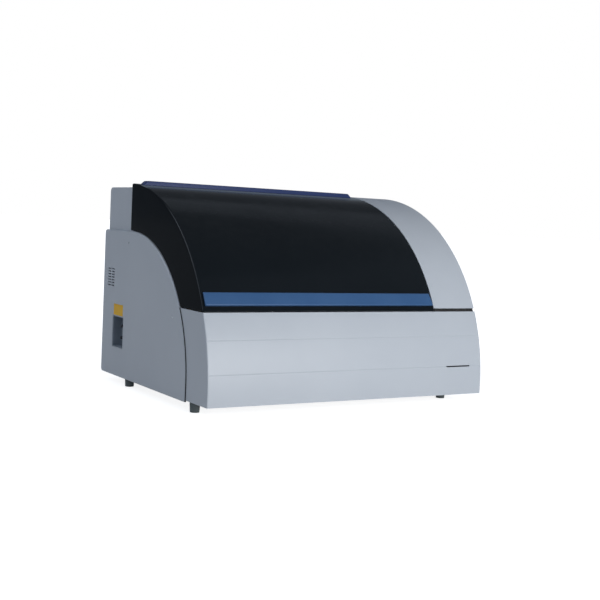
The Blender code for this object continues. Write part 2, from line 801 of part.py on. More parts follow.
def lid_section(low):
    """Section of the lid or the right cover: front edge, over the top, and back along the seam."""
    radius = SEAM_RADIUS + SEAM_GAP
    seam = [p for p in seam_path(radius, SEAM_Z) if p[1] > low and p[0] < LID_REAR]
    across = math.sqrt(radius ** 2 - (low - SEAM_Z) ** 2)
    outline = sweep_path(low, LID_REAR, 0.0)
    outline.append((LID_REAR, seam[-1][1]))
    return outline + seam[::-1] + [(SEAM_Y - across, low)]


def hollow_under(low, inset):
    """What is cut out under a swept cover: its section moved in, and open below and behind."""
    path = sweep_path(low, LID_REAR, inset)
    beyond = LID_REAR + OVERRUN
    return [(path[0][0], low - OVERRUN)] + path + [(beyond, path[-1][1]), (beyond, low - OVERRUN)]


def make_lid_shell():
    shell = flat_shape("lid_shell", [lid_section(LID_BOTTOM)], "X", -COVER_SIDE, LID_RIGHT, SMOKED)
    hollow = hollow_under(LID_BOTTOM, LID_WALL)
    inside = flat_shape("lid_inside", [hollow], "X", LID_WALL - COVER_SIDE, LID_RIGHT - LID_WALL, None)
    return cut(shell, inside)


def make_lid_handle():
    """A bar that follows the sweep a little above the lid's lower edge, with one slanted end."""
    low = LID_BOTTOM + HANDLE_RISE
    first = sweep_angle_at_height(low)
    last = sweep_angle_at_height(low + HANDLE_HEIGHT)
    angles = [first + (last - first) * i / CORNER_STEPS for i in range(CORNER_STEPS + 1)]
    inner = [sweep_point(angle, -CLEARANCE) for angle in angles]
    outer = [sweep_point(angle, -HANDLE_STAND) for angle in angles]
    left = HANDLE_END_INSET - COVER_SIDE
    right = LID_RIGHT - HANDLE_END_RIGHT
    bar = flat_shape("lid_handle", [inner + outer[::-1]], "X", left, right, BLUE)
    top = inner[-1][1]
    for corner in bar.data.vertices:
        if corner.co.x > 0:
            corner.co.x -= HANDLE_SLANT * max(corner.co.z - low, 0.0) / (top - low)
    return rounded(bar, TRIM_ROUND)


def make_lid_top_strip():
    """A low bar along the top of the lid, ramped down at both ends."""
    back = LID_REAR - STRIP_FROM_REAR
    front = back - STRIP_WIDTH
    steps = [front + (back - front) * i / CORNER_STEPS for i in range(CORNER_STEPS + 1)]
    under = [(y, sweep_height(y, -CLEARANCE)) for y in steps]
    top = LID_TOP + STRIP_RISE
    left = STRIP_LEFT_INSET - COVER_SIDE
    right = LID_RIGHT - STRIP_RIGHT_INSET
    strip = flat_shape("lid_top_strip", [under + [(back, top), (front, top)]], "X", left, right, BLUE)
    for corner in strip.data.vertices:
        if corner.co.z > top - CLEARANCE:
            corner.co.x -= math.copysign(STRIP_RAMP, corner.co.x - (left + right) / 2)
    return rounded(strip, TRIM_ROUND)


def make_right_cover():
    low = COVER_TOP + RIGHT_COVER_SHADOW
    cover = flat_shape("right_cover", [lid_section(low)], "X", RIGHT_COVER_LEFT, COVER_SIDE, LIGHT_GREY)
    hollow = hollow_under(low, COVER_WALL)
    inside = flat_shape(
        "right_cover_inside", [hollow], "X", RIGHT_COVER_LEFT - OVERRUN, COVER_SIDE - COVER_WALL, None
    )
    return cut(cover, inside)


def make_divider_wall():
    """A sheet between the work space and the right-hand compartment, up to the right cover."""
    low = DECK_TOP + CLEARANCE
    path = sweep_path(COVER_TOP + RIGHT_COVER_SHADOW, BULKHEAD_FRONT - CLEARANCE, COVER_WALL + CLEARANCE)
    foot = SHELF_BACK + CLEARANCE
    step = COVER_TOP + CLEARANCE
    outline = [(foot, low), (foot, step), (path[0][0], step)] + path + [(path[-1][0], low)]
    return flat_shape("divider_wall", [outline], "X", DIVIDER_LEFT, DIVIDER_LEFT + SHEET, STEEL)


def make_rear_housing():
    """The upper rear box: open in front, with cheeks that reach forward beside the hinges."""
    low = PANEL_TOP - FRAME_EDGE + CLEARANCE
    front = BULKHEAD_FRONT - HOUSING_CHEEK
    round_centre = (REAR - HOUSING_ROUND, HOUSING_TOP - HOUSING_ROUND)
    outline = [(front, low), (front, HOUSING_TOP)] + arc(round_centre, HOUSING_ROUND, 90, 0, CORNER_STEPS)
    outline.append((REAR, low))
    housing = flat_shape("rear_housing", [outline], "X", -HOUSING_SIDE, HOUSING_SIDE, LIGHT_GREY)
    inner = HOUSING_ROUND - HOUSING_WALL
    hollow = [(front - OVERRUN, low - OVERRUN), (front - OVERRUN, HOUSING_TOP - HOUSING_WALL)]
    hollow += arc(round_centre, inner, 90, 0, CORNER_STEPS) + [(REAR - HOUSING_WALL, low - OVERRUN)]
    side = HOUSING_SIDE - HOUSING_WALL
    inside = flat_shape("rear_housing_inside", [hollow], "X", -side, side, None)
    notch_low = (-side, front - OVERRUN, HOUSING_TOP - HOUSING_WALL - OVERRUN)
    notch_high = (side, BULKHEAD_FRONT - CLEARANCE, HOUSING_TOP + OVERRUN)
    return cut(housing, inside, box("rear_housing_notch", notch_low, notch_high, None))


def make_bulkhead():
    top = HOUSING_TOP - HOUSING_WALL - CLEARANCE
    outline = window((-BULKHEAD_SIDE, TRAY_TOP + CLEARANCE), (BULKHEAD_SIDE, top))
    return flat_shape("rear_bulkhead", [outline], "Y", BULKHEAD_FRONT, BULKHEAD_REAR, STEEL)


def make_base_tray():
    """The folded floor: a sheet with upturned front and back edges."""
    side = FRAME_INNER - CLEARANCE
    front = FRONT + COVER_WALL + CLEARANCE
    back = REAR_PANEL_INNER - CLEARANCE
    lip = TRAY_TOP + TRAY_LIP
    outline = [
        (front, TRAY_BOTTOM),
        (back, TRAY_BOTTOM),
        (back, lip),
        (back - SHEET, lip),
        (back - SHEET, TRAY_TOP),
        (front + SHEET, TRAY_TOP),
        (front + SHEET, lip),
        (front, lip),
    ]
    return flat_shape("base_tray", [outline], "X", -side, side, STEEL)


def make_feet():
    left = FOOT_SIDE_INSET - FRAME_INNER
    right = FRAME_INNER - FOOT_RIGHT_INSET
    places = {
        "foot_front_left": (left, FRONT + FOOT_FRONT_INSET),
        "foot_front_right": (right, FRONT + FOOT_FRONT_INSET),
        "foot_rear_left": (left, REAR - FOOT_REAR_INSET),
        "foot_rear_right": (right, REAR - FOOT_REAR_INSET),
    }
    for name, place in places.items():
        low_radius = FOOT_RADIUS - FOOT_TAPER
        high = TRAY_BOTTOM - CLEARANCE
        cylinder(name, place, low_radius, 0.0, high, RUBBER, steps=FOOT_STEPS, top_radius=FOOT_RADIUS)


def circle(centre, radius, steps):
    return arc(centre, radius, 0, 360 * (steps - 1) / steps, steps - 1)


BOWL_RADIUS = CAROUSEL_RADIUS + WELL_GAP + WELL_WALL
BATH_RADIUS = ROTOR_RADIUS + WELL_GAP + WELL_WALL
BOWL_FLOOR = DECK_BOTTOM - BOWL_DEPTH
BOSS_BOTTOM = BOWL_FLOOR - BOSS_DEPTH
BATH_INNER_WALL = ROTOR_RADIUS - BATH_CHANNEL
PROBE_PLACE = (AISLE_X, COLUMN_Y)
PROBE_TIP = (AISLE_X, COLUMN_Y - ARM_LENGTH)
STIRRER_PLACE = (STIRRER_X, COLUMN_Y)
STIRRER_TIP = (STIRRER_X, COLUMN_Y - STIRRER_ARM_LENGTH)


def make_deck():
    """The work deck: a sheet with round openings for the wells, the columns and the wash cups."""
    front = sweep_point(sweep_angle_at_height(DECK_TOP, COVER_WALL), COVER_WALL)[0] + CLEARANCE
    side = FRAME_INNER - CLEARANCE
    back = BULKHEAD_FRONT - CLEARANCE
    outline = window((-side, front), (side, back))
    holes = [
        circle((CAROUSEL_X, CAROUSEL_Y), BOWL_RADIUS + CLEARANCE, DISC_STEPS),
        circle((ROTOR_X, ROTOR_Y), BATH_RADIUS + CLEARANCE, DISC_STEPS),
        circle(PROBE_PLACE, GUIDE_RADIUS + CLEARANCE, PULLEY_STEPS),
        circle(STIRRER_PLACE, GUIDE_RADIUS + CLEARANCE, PULLEY_STEPS),
        circle(PROBE_TIP, CUP_RADIUS + CLEARANCE, PULLEY_STEPS),
        circle(STIRRER_TIP, CUP_RADIUS + CLEARANCE, PULLEY_STEPS),
    ]
    return flat_shape("deck_plate", [outline] + holes, "Z", DECK_BOTTOM, DECK_TOP, WHITE)


def well_lip(radius, floor):
    """The rim and the outer wall that both wells share, from the inner edge of the rim down to the floor."""
    lip = radius + WELL_LIP
    under = DECK_TOP + CLEARANCE
    top = under + WELL_LIP_THICK
    return [(radius - WELL_WALL, top), (lip, top), (lip, under), (radius, under), (radius, floor)]


def make_cooler_bowl():
    """The cooled well: rim on the deck, wall, floor, and a boss with the carousel's bearing bore."""
    bore = SHAFT_RADIUS + SHAFT_GAP
    profile = well_lip(BOWL_RADIUS, BOWL_FLOOR) + [
        (BOSS_RADIUS, BOWL_FLOOR),
        (BOSS_RADIUS, BOSS_BOTTOM),
        (bore, BOSS_BOTTOM),
        (bore, BOWL_FLOOR + WELL_WALL),
        (BOWL_RADIUS - WELL_WALL, BOWL_FLOOR + WELL_WALL),
    ]
    return turned("cooler_bowl", profile, (CAROUSEL_X, CAROUSEL_Y), WHITE)


def make_bath():
    """The incubator bath: a channel for the cuvettes round a raised middle with the rotor's bearing bore."""
    bore = SHAFT_RADIUS + SHAFT_GAP
    floor = DECK_BOTTOM - BATH_DEPTH
    middle = DECK_BOTTOM
    hub = BATH_INNER_WALL - WELL_GAP
    profile = well_lip(BATH_RADIUS, floor) + [
        (hub - WELL_WALL, floor),
        (hub - WELL_WALL, middle - WELL_WALL),
        (BOSS_RADIUS, middle - WELL_WALL),
        (BOSS_RADIUS, BOSS_BOTTOM),
        (bore, BOSS_BOTTOM),
        (bore, middle),
        (hub, middle),
        (hub, floor + WELL_WALL),
        (BATH_RADIUS - WELL_WALL, floor + WELL_WALL),
    ]
    return turned("bath_ring", profile, (ROTOR_X, ROTOR_Y), BLACK_METAL)


def disc_profile(radius, low, thick, knob_rise, pulley_radius):
    """A disc with its knob above and its shaft and belt pulley below."""
    return [
        (0.0, low + thick + knob_rise),
        (KNOB_RADIUS, low + thick + knob_rise),
        (KNOB_RADIUS, low + thick),
        (radius - DISC_RIM_RISE, low + thick),
        (radius, low + thick - DISC_RIM_RISE),
        (radius, low),
        (SHAFT_RADIUS, low),
        (SHAFT_RADIUS, DRIVE_TOP),
        (pulley_radius, DRIVE_TOP),
        (pulley_radius, DRIVE_BOTTOM),
        (0.0, DRIVE_BOTTOM),
    ]


def around(centre, radius, count, offset=0.0):
    """Places on a circle with the angle of each."""
    places = []
    for i in range(count):
        angle = 2 * math.pi * (i + offset) / count
        places.append(((centre[0] + radius * math.cos(angle), centre[1] + radius * math.sin(angle)), angle))
    return places


def turned_box(name, centre, angle, length, width, low, high):
    """A box standing on a circle, with its length along the radius."""
    made = box(name, (-length / 2, -width / 2, low), (length / 2, width / 2, high), None, CUTTERS)
    made.data.transform(Matrix.Translation((*centre, 0)) @ Matrix.Rotation(angle, 4, "Z"))
    return made


CAROUSEL_LOW = DECK_TOP - WELL_LIP_THICK
TUBE_RING = CAROUSEL_RADIUS - TUBE_RING_INSET
BOTTLE_RING = TUBE_RING - TUBE_RADIUS - BOTTLE_RING_GAP - BOTTLE_LENGTH / 2
ROTOR_LOW = DECK_TOP + ROTOR_LIFT
CUVETTE_RING = ROTOR_RADIUS - CUVETTE_INSET
CUVETTE_TOP = ROTOR_LOW + ROTOR_THICK + CUVETTE_RISE


def count_round(radius, pitch):
    """How many pieces stand round a circle at about the given pitch."""
    return round(2 * math.pi * radius / pitch)


TUBE_COUNT = count_round(TUBE_RING, TUBE_PITCH)
BOTTLE_COUNT = count_round(BOTTLE_RING, BOTTLE_PITCH)
CUVETTE_COUNT = count_round(CUVETTE_RING, CUVETTE_PITCH)


def make_carousel():
    centre = (CAROUSEL_X, CAROUSEL_Y)
    profile = disc_profile(CAROUSEL_RADIUS, CAROUSEL_LOW, DISC_THICK, KNOB_RISE, CAROUSEL_PULLEY_RADIUS)
    carousel = turned("sample_carousel", profile, centre, WHITE)
    tube_low = CAROUSEL_LOW - TUBE_DROP
    tubes = [
        cylinder("tube", place, TUBE_RADIUS, tube_low, TUBE_TOP, None, steps=TUBE_STEPS, collection=CUTTERS)
        for place, angle in around(centre, TUBE_RING, TUBE_COUNT)
    ]
    bottle_low = CAROUSEL_LOW - BOTTLE_DROP
    bottle_top = CAROUSEL_LOW + DISC_THICK + BOTTLE_RISE
    bottles = [
        turned_box("bottle", place, angle, BOTTLE_LENGTH, BOTTLE_WIDTH, bottle_low, bottle_top)
        for place, angle in around(centre, BOTTLE_RING, BOTTLE_COUNT, BOTTLE_START_SHARE)
    ]
    join(carousel, cluster("tubes", tubes), cluster("bottles", bottles))
    return carousel


def make_rotor():
    centre = (ROTOR_X, ROTOR_Y)
    profile = disc_profile(ROTOR_RADIUS, ROTOR_LOW, ROTOR_THICK, ROTOR_KNOB_RISE, ROTOR_PULLEY_RADIUS)
    rotor = turned("reaction_rotor", profile, centre, DARK)
    low = ROTOR_LOW - CUVETTE_DROP
    cuvettes = [
        turned_box("cuvette", place, angle, CUVETTE_LENGTH, CUVETTE_SIDE, low, CUVETTE_TOP)
        for place, angle in around(centre, CUVETTE_RING, CUVETTE_COUNT)
    ]
    return join(rotor, cluster("cuvettes", cuvettes))


MOTOR_TOP = DECK_BOTTOM - CLEARANCE
MOTOR_BOTTOM = MOTOR_TOP - MOTOR_LENGTH
MOTOR_BORE_TOP = MOTOR_BOTTOM + MOTOR_LENGTH / 2
CAROUSEL_MOTOR = (AISLE_X, CAROUSEL_Y - MOTOR_AHEAD)
ROTOR_MOTOR = (AISLE_X, ROTOR_Y + MOTOR_BEHIND)


def make_motor(name, place):
    """A square stepper motor hung under the deck, with its corners cut and a bore for its shaft."""
    half = MOTOR_SIDE / 2
    near = half - MOTOR_EDGE
    outline = [(half, -near), (half, near), (near, half), (-near, half)]
    outline += [(-u, -v) for u, v in outline]
    outline = [(place[0] + u, place[1] + v) for u, v in outline]
    motor = flat_shape(name, [outline], "Z", MOTOR_BOTTOM, MOTOR_TOP, BLACK_METAL)
    radius = MOTOR_SHAFT_RADIUS + CLEARANCE
    return cut(motor, cylinder(name + "_bore", place, radius, MOTOR_BOTTOM - OVERRUN, MOTOR_BORE_TOP, None))


def make_pinion(name, place):
    """The motor's shaft with the small belt pulley on its lower end."""
    profile = [
        (0.0, MOTOR_BORE_TOP - CLEARANCE),
        (MOTOR_SHAFT_RADIUS, MOTOR_BORE_TOP - CLEARANCE),
        (MOTOR_SHAFT_RADIUS, DRIVE_TOP),
        (PINION_RADIUS, DRIVE_TOP),
        (PINION_RADIUS, DRIVE_BOTTOM),
        (0.0, DRIVE_BOTTOM),
    ]
    return turned(name, profile, place, BRIGHT, steps=BORE_STEPS)


def belt_loop(first, second, first_radius, second_radius):
    """Outline of a belt round two pulleys: two round stretches joined by their outer tangents."""
    line = Vector(second) - Vector(first)
    heading = math.degrees(math.atan2(line.y, line.x))
    lean = math.degrees(math.acos((first_radius - second_radius) / line.length))
    outline = arc(first, first_radius, heading + lean, heading + 360 - lean, PULLEY_STEPS)
    return outline + arc(second, second_radius, heading - lean, heading + lean, PULLEY_STEPS // 2)


def make_belt(name, first, second, first_radius):
    """A flat belt; its facets stand off the pulleys by the clearance even at their middles."""
    spread = 1 / math.cos(math.pi / PULLEY_STEPS)
    big = (first_radius + CLEARANCE) * spread
    small = (PINION_RADIUS + CLEARANCE) * spread
    inner = belt_loop(first, second, big, small)
    outer = belt_loop(first, second, big + BELT_THICK, small + BELT_THICK)
    return flat_shape(name, [outer, inner], "Z", DRIVE_BOTTOM + CLEARANCE, DRIVE_TOP - CLEARANCE, BELT)


def make_drives():
    make_motor("carousel_motor", CAROUSEL_MOTOR)
    make_motor("rotor_motor", ROTOR_MOTOR)
    make_belt("carousel_belt", (CAROUSEL_X, CAROUSEL_Y), CAROUSEL_MOTOR, CAROUSEL_PULLEY_RADIUS)
    make_belt("rotor_belt", (ROTOR_X, ROTOR_Y), ROTOR_MOTOR, ROTOR_PULLEY_RADIUS)
    make_pinion("carousel_pinion", CAROUSEL_MOTOR)
    make_pinion("rotor_pinion", ROTOR_MOTOR)


def make_photometer():
    """The lamp and filter block that hangs under the bath's channel, with a cooled lamp cap on its end."""
    top = DECK_BOTTOM - BATH_DEPTH - CLEARANCE
    left = ROTOR_X + BATH_INNER_WALL
    low = (left, ROTOR_Y - PHOTOMETER_WIDTH / 2, top - PHOTOMETER_HEIGHT)
    high = (left + PHOTOMETER_LENGTH, ROTOR_Y + PHOTOMETER_WIDTH / 2, top)
    block = box("photometer_housing", low, high, BLACK_METAL)
    lamp = (ROTOR_Y, top - PHOTOMETER_HEIGHT / 2)
    cap_end = high[0] + PHOTOMETER_CAP
    cap = cylinder("lamp_cap", lamp, PHOTOMETER_HEIGHT / 3, high[0] - PHOTOMETER_CAP, cap_end, None, axis="X")
    return join(block, cap)


def make_guide(name, place):
    """A bearing sleeve through the deck with a flange on top."""
    bore = COLUMN_RADIUS + SHAFT_GAP
    under = DECK_TOP + CLEARANCE
    low = DECK_BOTTOM - GUIDE_DROP
    profile = [
        (bore, DECK_TOP + GUIDE_RISE),
        (GUIDE_RADIUS, DECK_TOP + GUIDE_RISE),
        (GUIDE_RADIUS, under + GUIDE_FLANGE),
        (GUIDE_FLANGE_RADIUS, under + GUIDE_FLANGE),
        (GUIDE_FLANGE_RADIUS, under),
        (GUIDE_RADIUS, under),
        (GUIDE_RADIUS, low),
        (bore, low),
    ]
    return turned(name, profile, place, BRIGHT, steps=SLEEVE_STEPS)


def make_column(name, place):
    """A lifting shaft: a thick bar with a thinner pin on top that carries the arm."""
    shoulder = ARM_BOTTOM - CLEARANCE
    pin_top = ARM_BOTTOM + ARM_HEIGHT / 2
    profile = [
        (0.0, pin_top),
        (PIN_RADIUS, pin_top),
        (PIN_RADIUS, shoulder),
        (COLUMN_RADIUS, shoulder),
        (COLUMN_RADIUS, DECK_BOTTOM - COLUMN_DROP),
        (0.0, DECK_BOTTOM - COLUMN_DROP),
    ]
    return turned(name, profile, place, BRIGHT, steps=SLEEVE_STEPS)


def arm_body(name, place, length):
    """A tapered arm, round at both ends, that points to the front at rest, with a blind bore for its pin."""
    x, y = place
    plan = arc((x, y), ARM_WIDTH / 2, 0, 180, 8) + arc((x, y - length), ARM_TIP_WIDTH / 2, 180, 360, 6)
    arm = flat_shape(name, [plan], "Z", ARM_BOTTOM, ARM_BOTTOM + ARM_HEIGHT, WHITE)
    radius = PIN_RADIUS + ARM_PIVOT_GAP
    bore_top = ARM_BOTTOM + ARM_HEIGHT / 2 + ARM_PIVOT_GAP
    low = ARM_BOTTOM - OVERRUN
    return cut(arm, cylinder(name + "_bore", place, radius, low, bore_top, None, steps=SLEEVE_STEPS))


def make_probe_arm():
    arm = arm_body("probe_arm", PROBE_PLACE, ARM_LENGTH)
    low = TUBE_TOP + NEEDLE_CLEARANCE
    high = ARM_BOTTOM + ARM_HEIGHT / 2
    return join(arm, cylinder("probe_needle", PROBE_TIP, NEEDLE_RADIUS, low, high, None, steps=NEEDLE_STEPS))


def make_stirrer_arm():
    arm = arm_body("stirrer_arm", STIRRER_PLACE, STIRRER_ARM_LENGTH)
    radius = PADDLE_SHAFT_RADIUS + PADDLE_GAP
    top = ARM_BOTTOM + ARM_HEIGHT / 2 + CLEARANCE
    return cut(arm, cylinder("paddle_bore", STIRRER_TIP, radius, ARM_BOTTOM - OVERRUN, top, None))


def make_paddle():
    x, y = STIRRER_TIP
    low = TUBE_TOP + NEEDLE_CLEARANCE
    high = ARM_BOTTOM + ARM_HEIGHT / 2
    rod = cylinder("stirrer_paddle", STIRRER_TIP, PADDLE_SHAFT_RADIUS, low + PADDLE_HEIGHT / 2, high, BRIGHT)
    blade_low = (x - PADDLE_WIDTH / 2, y - PADDLE_THICK / 2, low)
    blade_high = (x + PADDLE_WIDTH / 2, y + PADDLE_THICK / 2, low + PADDLE_HEIGHT)
    return join(rod, box("paddle_blade", blade_low, blade_high, None))


def make_cup(name, place):
    """A wash cup let into the deck."""
    low = DECK_BOTTOM - CUP_DEPTH
    profile = [
        (CUP_RADIUS - CUP_WALL, DECK_TOP + CUP_RISE),
        (CUP_RADIUS + CUP_WALL, DECK_TOP + CUP_RISE),
        (CUP_RADIUS + CUP_WALL, DECK_TOP + CLEARANCE),
        (CUP_RADIUS, DECK_TOP + CLEARANCE),
        (CUP_RADIUS, low),
        (0.0, low),
        (0.0, low + CUP_WALL),
        (CUP_RADIUS - CUP_WALL, low + CUP_WALL),
    ]
    return turned(name, profile, place, DARK, steps=CUP_STEPS)


WASH_Y = ROTOR_Y + ROTOR_RADIUS + WASH_BACKSET
NOZZLE_LOW = CUVETTE_TOP + WASH_NOZZLE_CLEARANCE
WASH_HEAD_LOW = NOZZLE_LOW + WASH_NOZZLE_LENGTH


def make_wash_post():
    low = DECK_TOP + CLEARANCE
    top = WASH_HEAD_LOW + WASH_HEAD_HEIGHT + LIFT_TRAVEL
    profile = [
        (0.0, top),
        (WASH_POST_RADIUS, top),
        (WASH_POST_RADIUS, low + GUIDE_FLANGE),
        (GUIDE_FLANGE_RADIUS, low + GUIDE_FLANGE),
        (GUIDE_FLANGE_RADIUS, low),
        (0.0, low),
    ]
    return turned("wash_post", profile, (ROTOR_X, WASH_Y), BRIGHT, steps=SLEEVE_STEPS)


def make_wash_head():
    """A bar that slides on the wash post and holds a row of nozzles over the cuvettes."""
    ring_y = ROTOR_Y + CUVETTE_RING
    half = WASH_HEAD_WIDTH / 2
    hub = 2 * WASH_POST_RADIUS
    right = [
        (half, ring_y - WASH_POST_RADIUS),
        (half, ring_y + WASH_POST_RADIUS),
        (hub, WASH_Y),
        (hub, WASH_Y + hub),
    ]
    plan = [(ROTOR_X + u, v) for u, v in right] + [(ROTOR_X - u, v) for u, v in right[::-1]]
    bore = circle((ROTOR_X, WASH_Y), WASH_POST_RADIUS + SHAFT_GAP, SLEEVE_STEPS)
    high = WASH_HEAD_LOW + WASH_HEAD_HEIGHT
    head = flat_shape("wash_head", [plan, bore], "Z", WASH_HEAD_LOW, high, WHITE)
    pitch = WASH_HEAD_WIDTH / WASH_NOZZLES
    top = WASH_HEAD_LOW + WASH_HEAD_HEIGHT / 2
    nozzles = []
    for i in range(WASH_NOZZLES):
        place = (ROTOR_X + (i - (WASH_NOZZLES - 1) / 2) * pitch, ring_y)
        nozzle = cylinder("nozzle", place, WASH_NOZZLE_RADIUS, NOZZLE_LOW, top, None, steps=NEEDLE_STEPS)
        nozzles.append(nozzle)
    return join(head, cluster("nozzles", nozzles))


def make_pump():
    """A syringe pump in the front right corner: a block on the floor and a plunger that slides up in it."""
    x = FRAME_INNER - PUMP_FROM_RIGHT
    y = FRONT + PUMP_FROM_FRONT
    low = TRAY_TOP + CLEARANCE
    top = low + PUMP_HEIGHT
    floor = low + PUMP_BORE_FLOOR
    block_low = (x - PUMP_WIDTH / 2, y - PUMP_DEPTH / 2, low)
    block = box("syringe_barrel", block_low, (x + PUMP_WIDTH / 2, y + PUMP_DEPTH / 2, top), WHITE)
    bore = PLUNGER_RADIUS + PLUNGER_GAP
    cut(block, cylinder("syringe_bore", (x, y), bore, floor, top + OVERRUN, None, steps=SLEEVE_STEPS))
    profile = [
        (0.0, top + PLUNGER_KNOB),
        (PLUNGER_KNOB_RADIUS, top + PLUNGER_KNOB),
        (PLUNGER_KNOB_RADIUS, top + CLEARANCE),
        (PLUNGER_RADIUS, top + CLEARANCE),
        (PLUNGER_RADIUS, floor + CLEARANCE),
        (0.0, floor + CLEARANCE),
    ]
    turned("syringe_plunger", profile, (x, y), BRIGHT, steps=SLEEVE_STEPS)


def make_supply():
    """The power supply on the floor of the rear compartment."""
    low = TRAY_TOP + CLEARANCE
    front = BULKHEAD_REAR + SUPPLY_GAP
    near = (SUPPLY_X - SUPPLY_WIDTH / 2, front, low)
    far = (SUPPLY_X + SUPPLY_WIDTH / 2, front + SUPPLY_DEPTH, low + SUPPLY_HEIGHT)
    return box("power_supply", near, far, STEEL)


def make_control_board():
    """The board behind the bulkhead on four standoffs, with its large components."""
    foot = BULKHEAD_REAR + CLEARANCE
    face = foot + STANDOFF_LENGTH
    middle = face + BOARD_THICK / 2
    left = BOARD_X - BOARD_WIDTH / 2
    right = left + BOARD_WIDTH
    bottom = TRAY_TOP + BOARD_BOTTOM
    top = bottom + BOARD_HEIGHT
    board = box("control_board", (left, face, bottom), (right, face + BOARD_THICK, top), BOARD)
    standoffs = []
    for x in (left + STANDOFF_EDGE, right - STANDOFF_EDGE):
        for z in (bottom + STANDOFF_EDGE, top - STANDOFF_EDGE):
            place = (x, z)
            standoff = cylinder("standoff", place, STANDOFF_RADIUS, foot, middle, None, "Y", STANDOFF_STEPS)
            standoffs.append(standoff)
    chips = []
    for across_share, up_share, side_share in CHIP_SHARES:
        x = left + across_share * BOARD_WIDTH
        z = bottom + up_share * BOARD_HEIGHT
        half = side_share * BOARD_HEIGHT
        low = (x - half, middle, z - half)
        chips.append(box("chip", low, (x + half, face + BOARD_THICK + CHIP_HEIGHT, z + half), None))
    return join(board, cluster("standoffs", standoffs), cluster("chips", chips))


FAN_PLACE = (FAN_X, UNDERSIDE + FAN_HEIGHT)
INLET_PLACE = (INLET_X, UNDERSIDE + INLET_HEIGHT)
SWITCH_PLACE = (INLET_X - INLET_WIDTH / 2 - SWITCH_GAP - SWITCH_WIDTH / 2, UNDERSIDE + INLET_HEIGHT)


def around_place(place, wide, tall, edge=0.0):
    """A rectangle of a given size about a place, grown by an edge all round."""
    low = (place[0] - wide / 2, place[1] - tall / 2)
    return window(low, (low[0] + wide, low[1] + tall), edge)


def make_rear_panel():
    side = FRAME_INNER - CLEARANCE
    outline = window((-side, TRAY_BOTTOM), (side, PANEL_TOP - FRAME_EDGE))
    holes = [
        circle(FAN_PLACE, FAN_SIZE / 2 - FAN_WALL, FAN_STEPS),
        around_place(INLET_PLACE, INLET_WIDTH, INLET_TALL, CLEARANCE),
        around_place(SWITCH_PLACE, SWITCH_WIDTH, SWITCH_TALL, CLEARANCE),
    ]
    return flat_shape("rear_panel", [outline] + holes, "Y", REAR_PANEL_INNER, REAR_PANEL_OUTER, STEEL)


def make_fan():
    """The fan frame inside the rear panel, with the cross bar and the axle that carry its rotor."""
    high = REAR_PANEL_INNER - CLEARANCE
    low = high - FAN_THICK
    bore = FAN_SIZE / 2 - FAN_WALL
    reach = bore + FAN_WALL / 2
    x, z = FAN_PLACE
    outlines = [around_place(FAN_PLACE, FAN_SIZE, FAN_SIZE), circle(FAN_PLACE, bore, FAN_STEPS)]
    frame = flat_shape("fan_frame", outlines, "Y", low, high, BLACK_METAL)
    half_strut = FAN_STRUT / 2
    bar_high = (x + reach, low + FAN_STRUT, z + half_strut)
    bar = box("fan_bar", (x - reach, low, z - half_strut), bar_high, None)
    plate = cylinder("fan_motor", FAN_PLACE, FAN_HUB_RADIUS, low, low + FAN_STRUT, None, "Y")
    axle = cylinder("fan_axle", FAN_PLACE, FAN_AXLE_RADIUS, low + half_strut, high - FAN_STRUT, None, "Y")
    return join(frame, bar, plate, axle)


def make_fan_rotor():
    """The fan's hub with its pitched blades, and the bore that it turns on."""
    high = REAR_PANEL_INNER - CLEARANCE
    hub_low = high - FAN_THICK + FAN_STRUT + CLEARANCE
    hub_high = high - FAN_STRUT / 2
    rotor = cylinder("fan_rotor", FAN_PLACE, FAN_HUB_RADIUS, hub_low, hub_high, DARK, "Y", FAN_STEPS)
    middle = Matrix.Translation((FAN_PLACE[0], (hub_low + hub_high) / 2, FAN_PLACE[1]))
    root = FAN_HUB_RADIUS * BLADE_ROOT_SHARE
    reach = FAN_SIZE / 2 - FAN_WALL - FAN_TIP_GAP - root
    deep = FAN_BLADE_DEPTH / 2
    thick = FAN_BLADE_THICK / 2
    pitch = Matrix.Translation((root, 0, 0)) @ Matrix.Rotation(math.radians(FAN_BLADE_PITCH_DEG), 4, "X")
    blades = []
    for i in range(FAN_BLADES):
        blade = box("fan_blade", (0, -deep, -thick), (reach, deep, thick), None)
        blade.data.transform(middle @ Matrix.Rotation(2 * math.pi * i / FAN_BLADES, 4, "Y") @ pitch)
        blades.append(blade)
    join(rotor, cluster("fan_blades", blades))
    bore = FAN_AXLE_RADIUS + FAN_AXLE_GAP
    bore_top = high - FAN_STRUT + CLEARANCE
    return cut(rotor, cylinder("fan_bore", FAN_PLACE, bore, hub_low - OVERRUN, bore_top, None, "Y"))


def make_fan_guard():
    """A flat grille of rings joined by a cross, on the outer face of the rear panel."""
    low = REAR_PANEL_OUTER + CLEARANCE
    high = low + FAN_RING_WIRE
    radius = FAN_SIZE / 2
    x, z = FAN_PLACE
    rim = [circle(FAN_PLACE, radius, FAN_STEPS), circle(FAN_PLACE, radius - 2 * FAN_RING_WIRE, FAN_STEPS)]
    guard = flat_shape("fan_guard", rim, "Y", low, high, BRIGHT)
    rings = []
    pitch = radius / (FAN_RING_COUNT + 1)
    for i in range(1, FAN_RING_COUNT + 1):
        inner = i * pitch - FAN_RING_WIRE
        ring = [circle(FAN_PLACE, i * pitch, FAN_STEPS), circle(FAN_PLACE, inner, FAN_STEPS)]
        rings.append(flat_shape("ring", ring, "Y", low, high, None))
    reach = radius - FAN_RING_WIRE
    half = FAN_RING_WIRE / 2
    across = box("guard_across", (x - reach, low, z - half), (x + reach, high, z + half), None)
    upright = box("guard_upright", (x - half, low, z - reach), (x + half, high, z + reach), None)
    return join(guard, across, upright, cluster("guard_rings", rings))


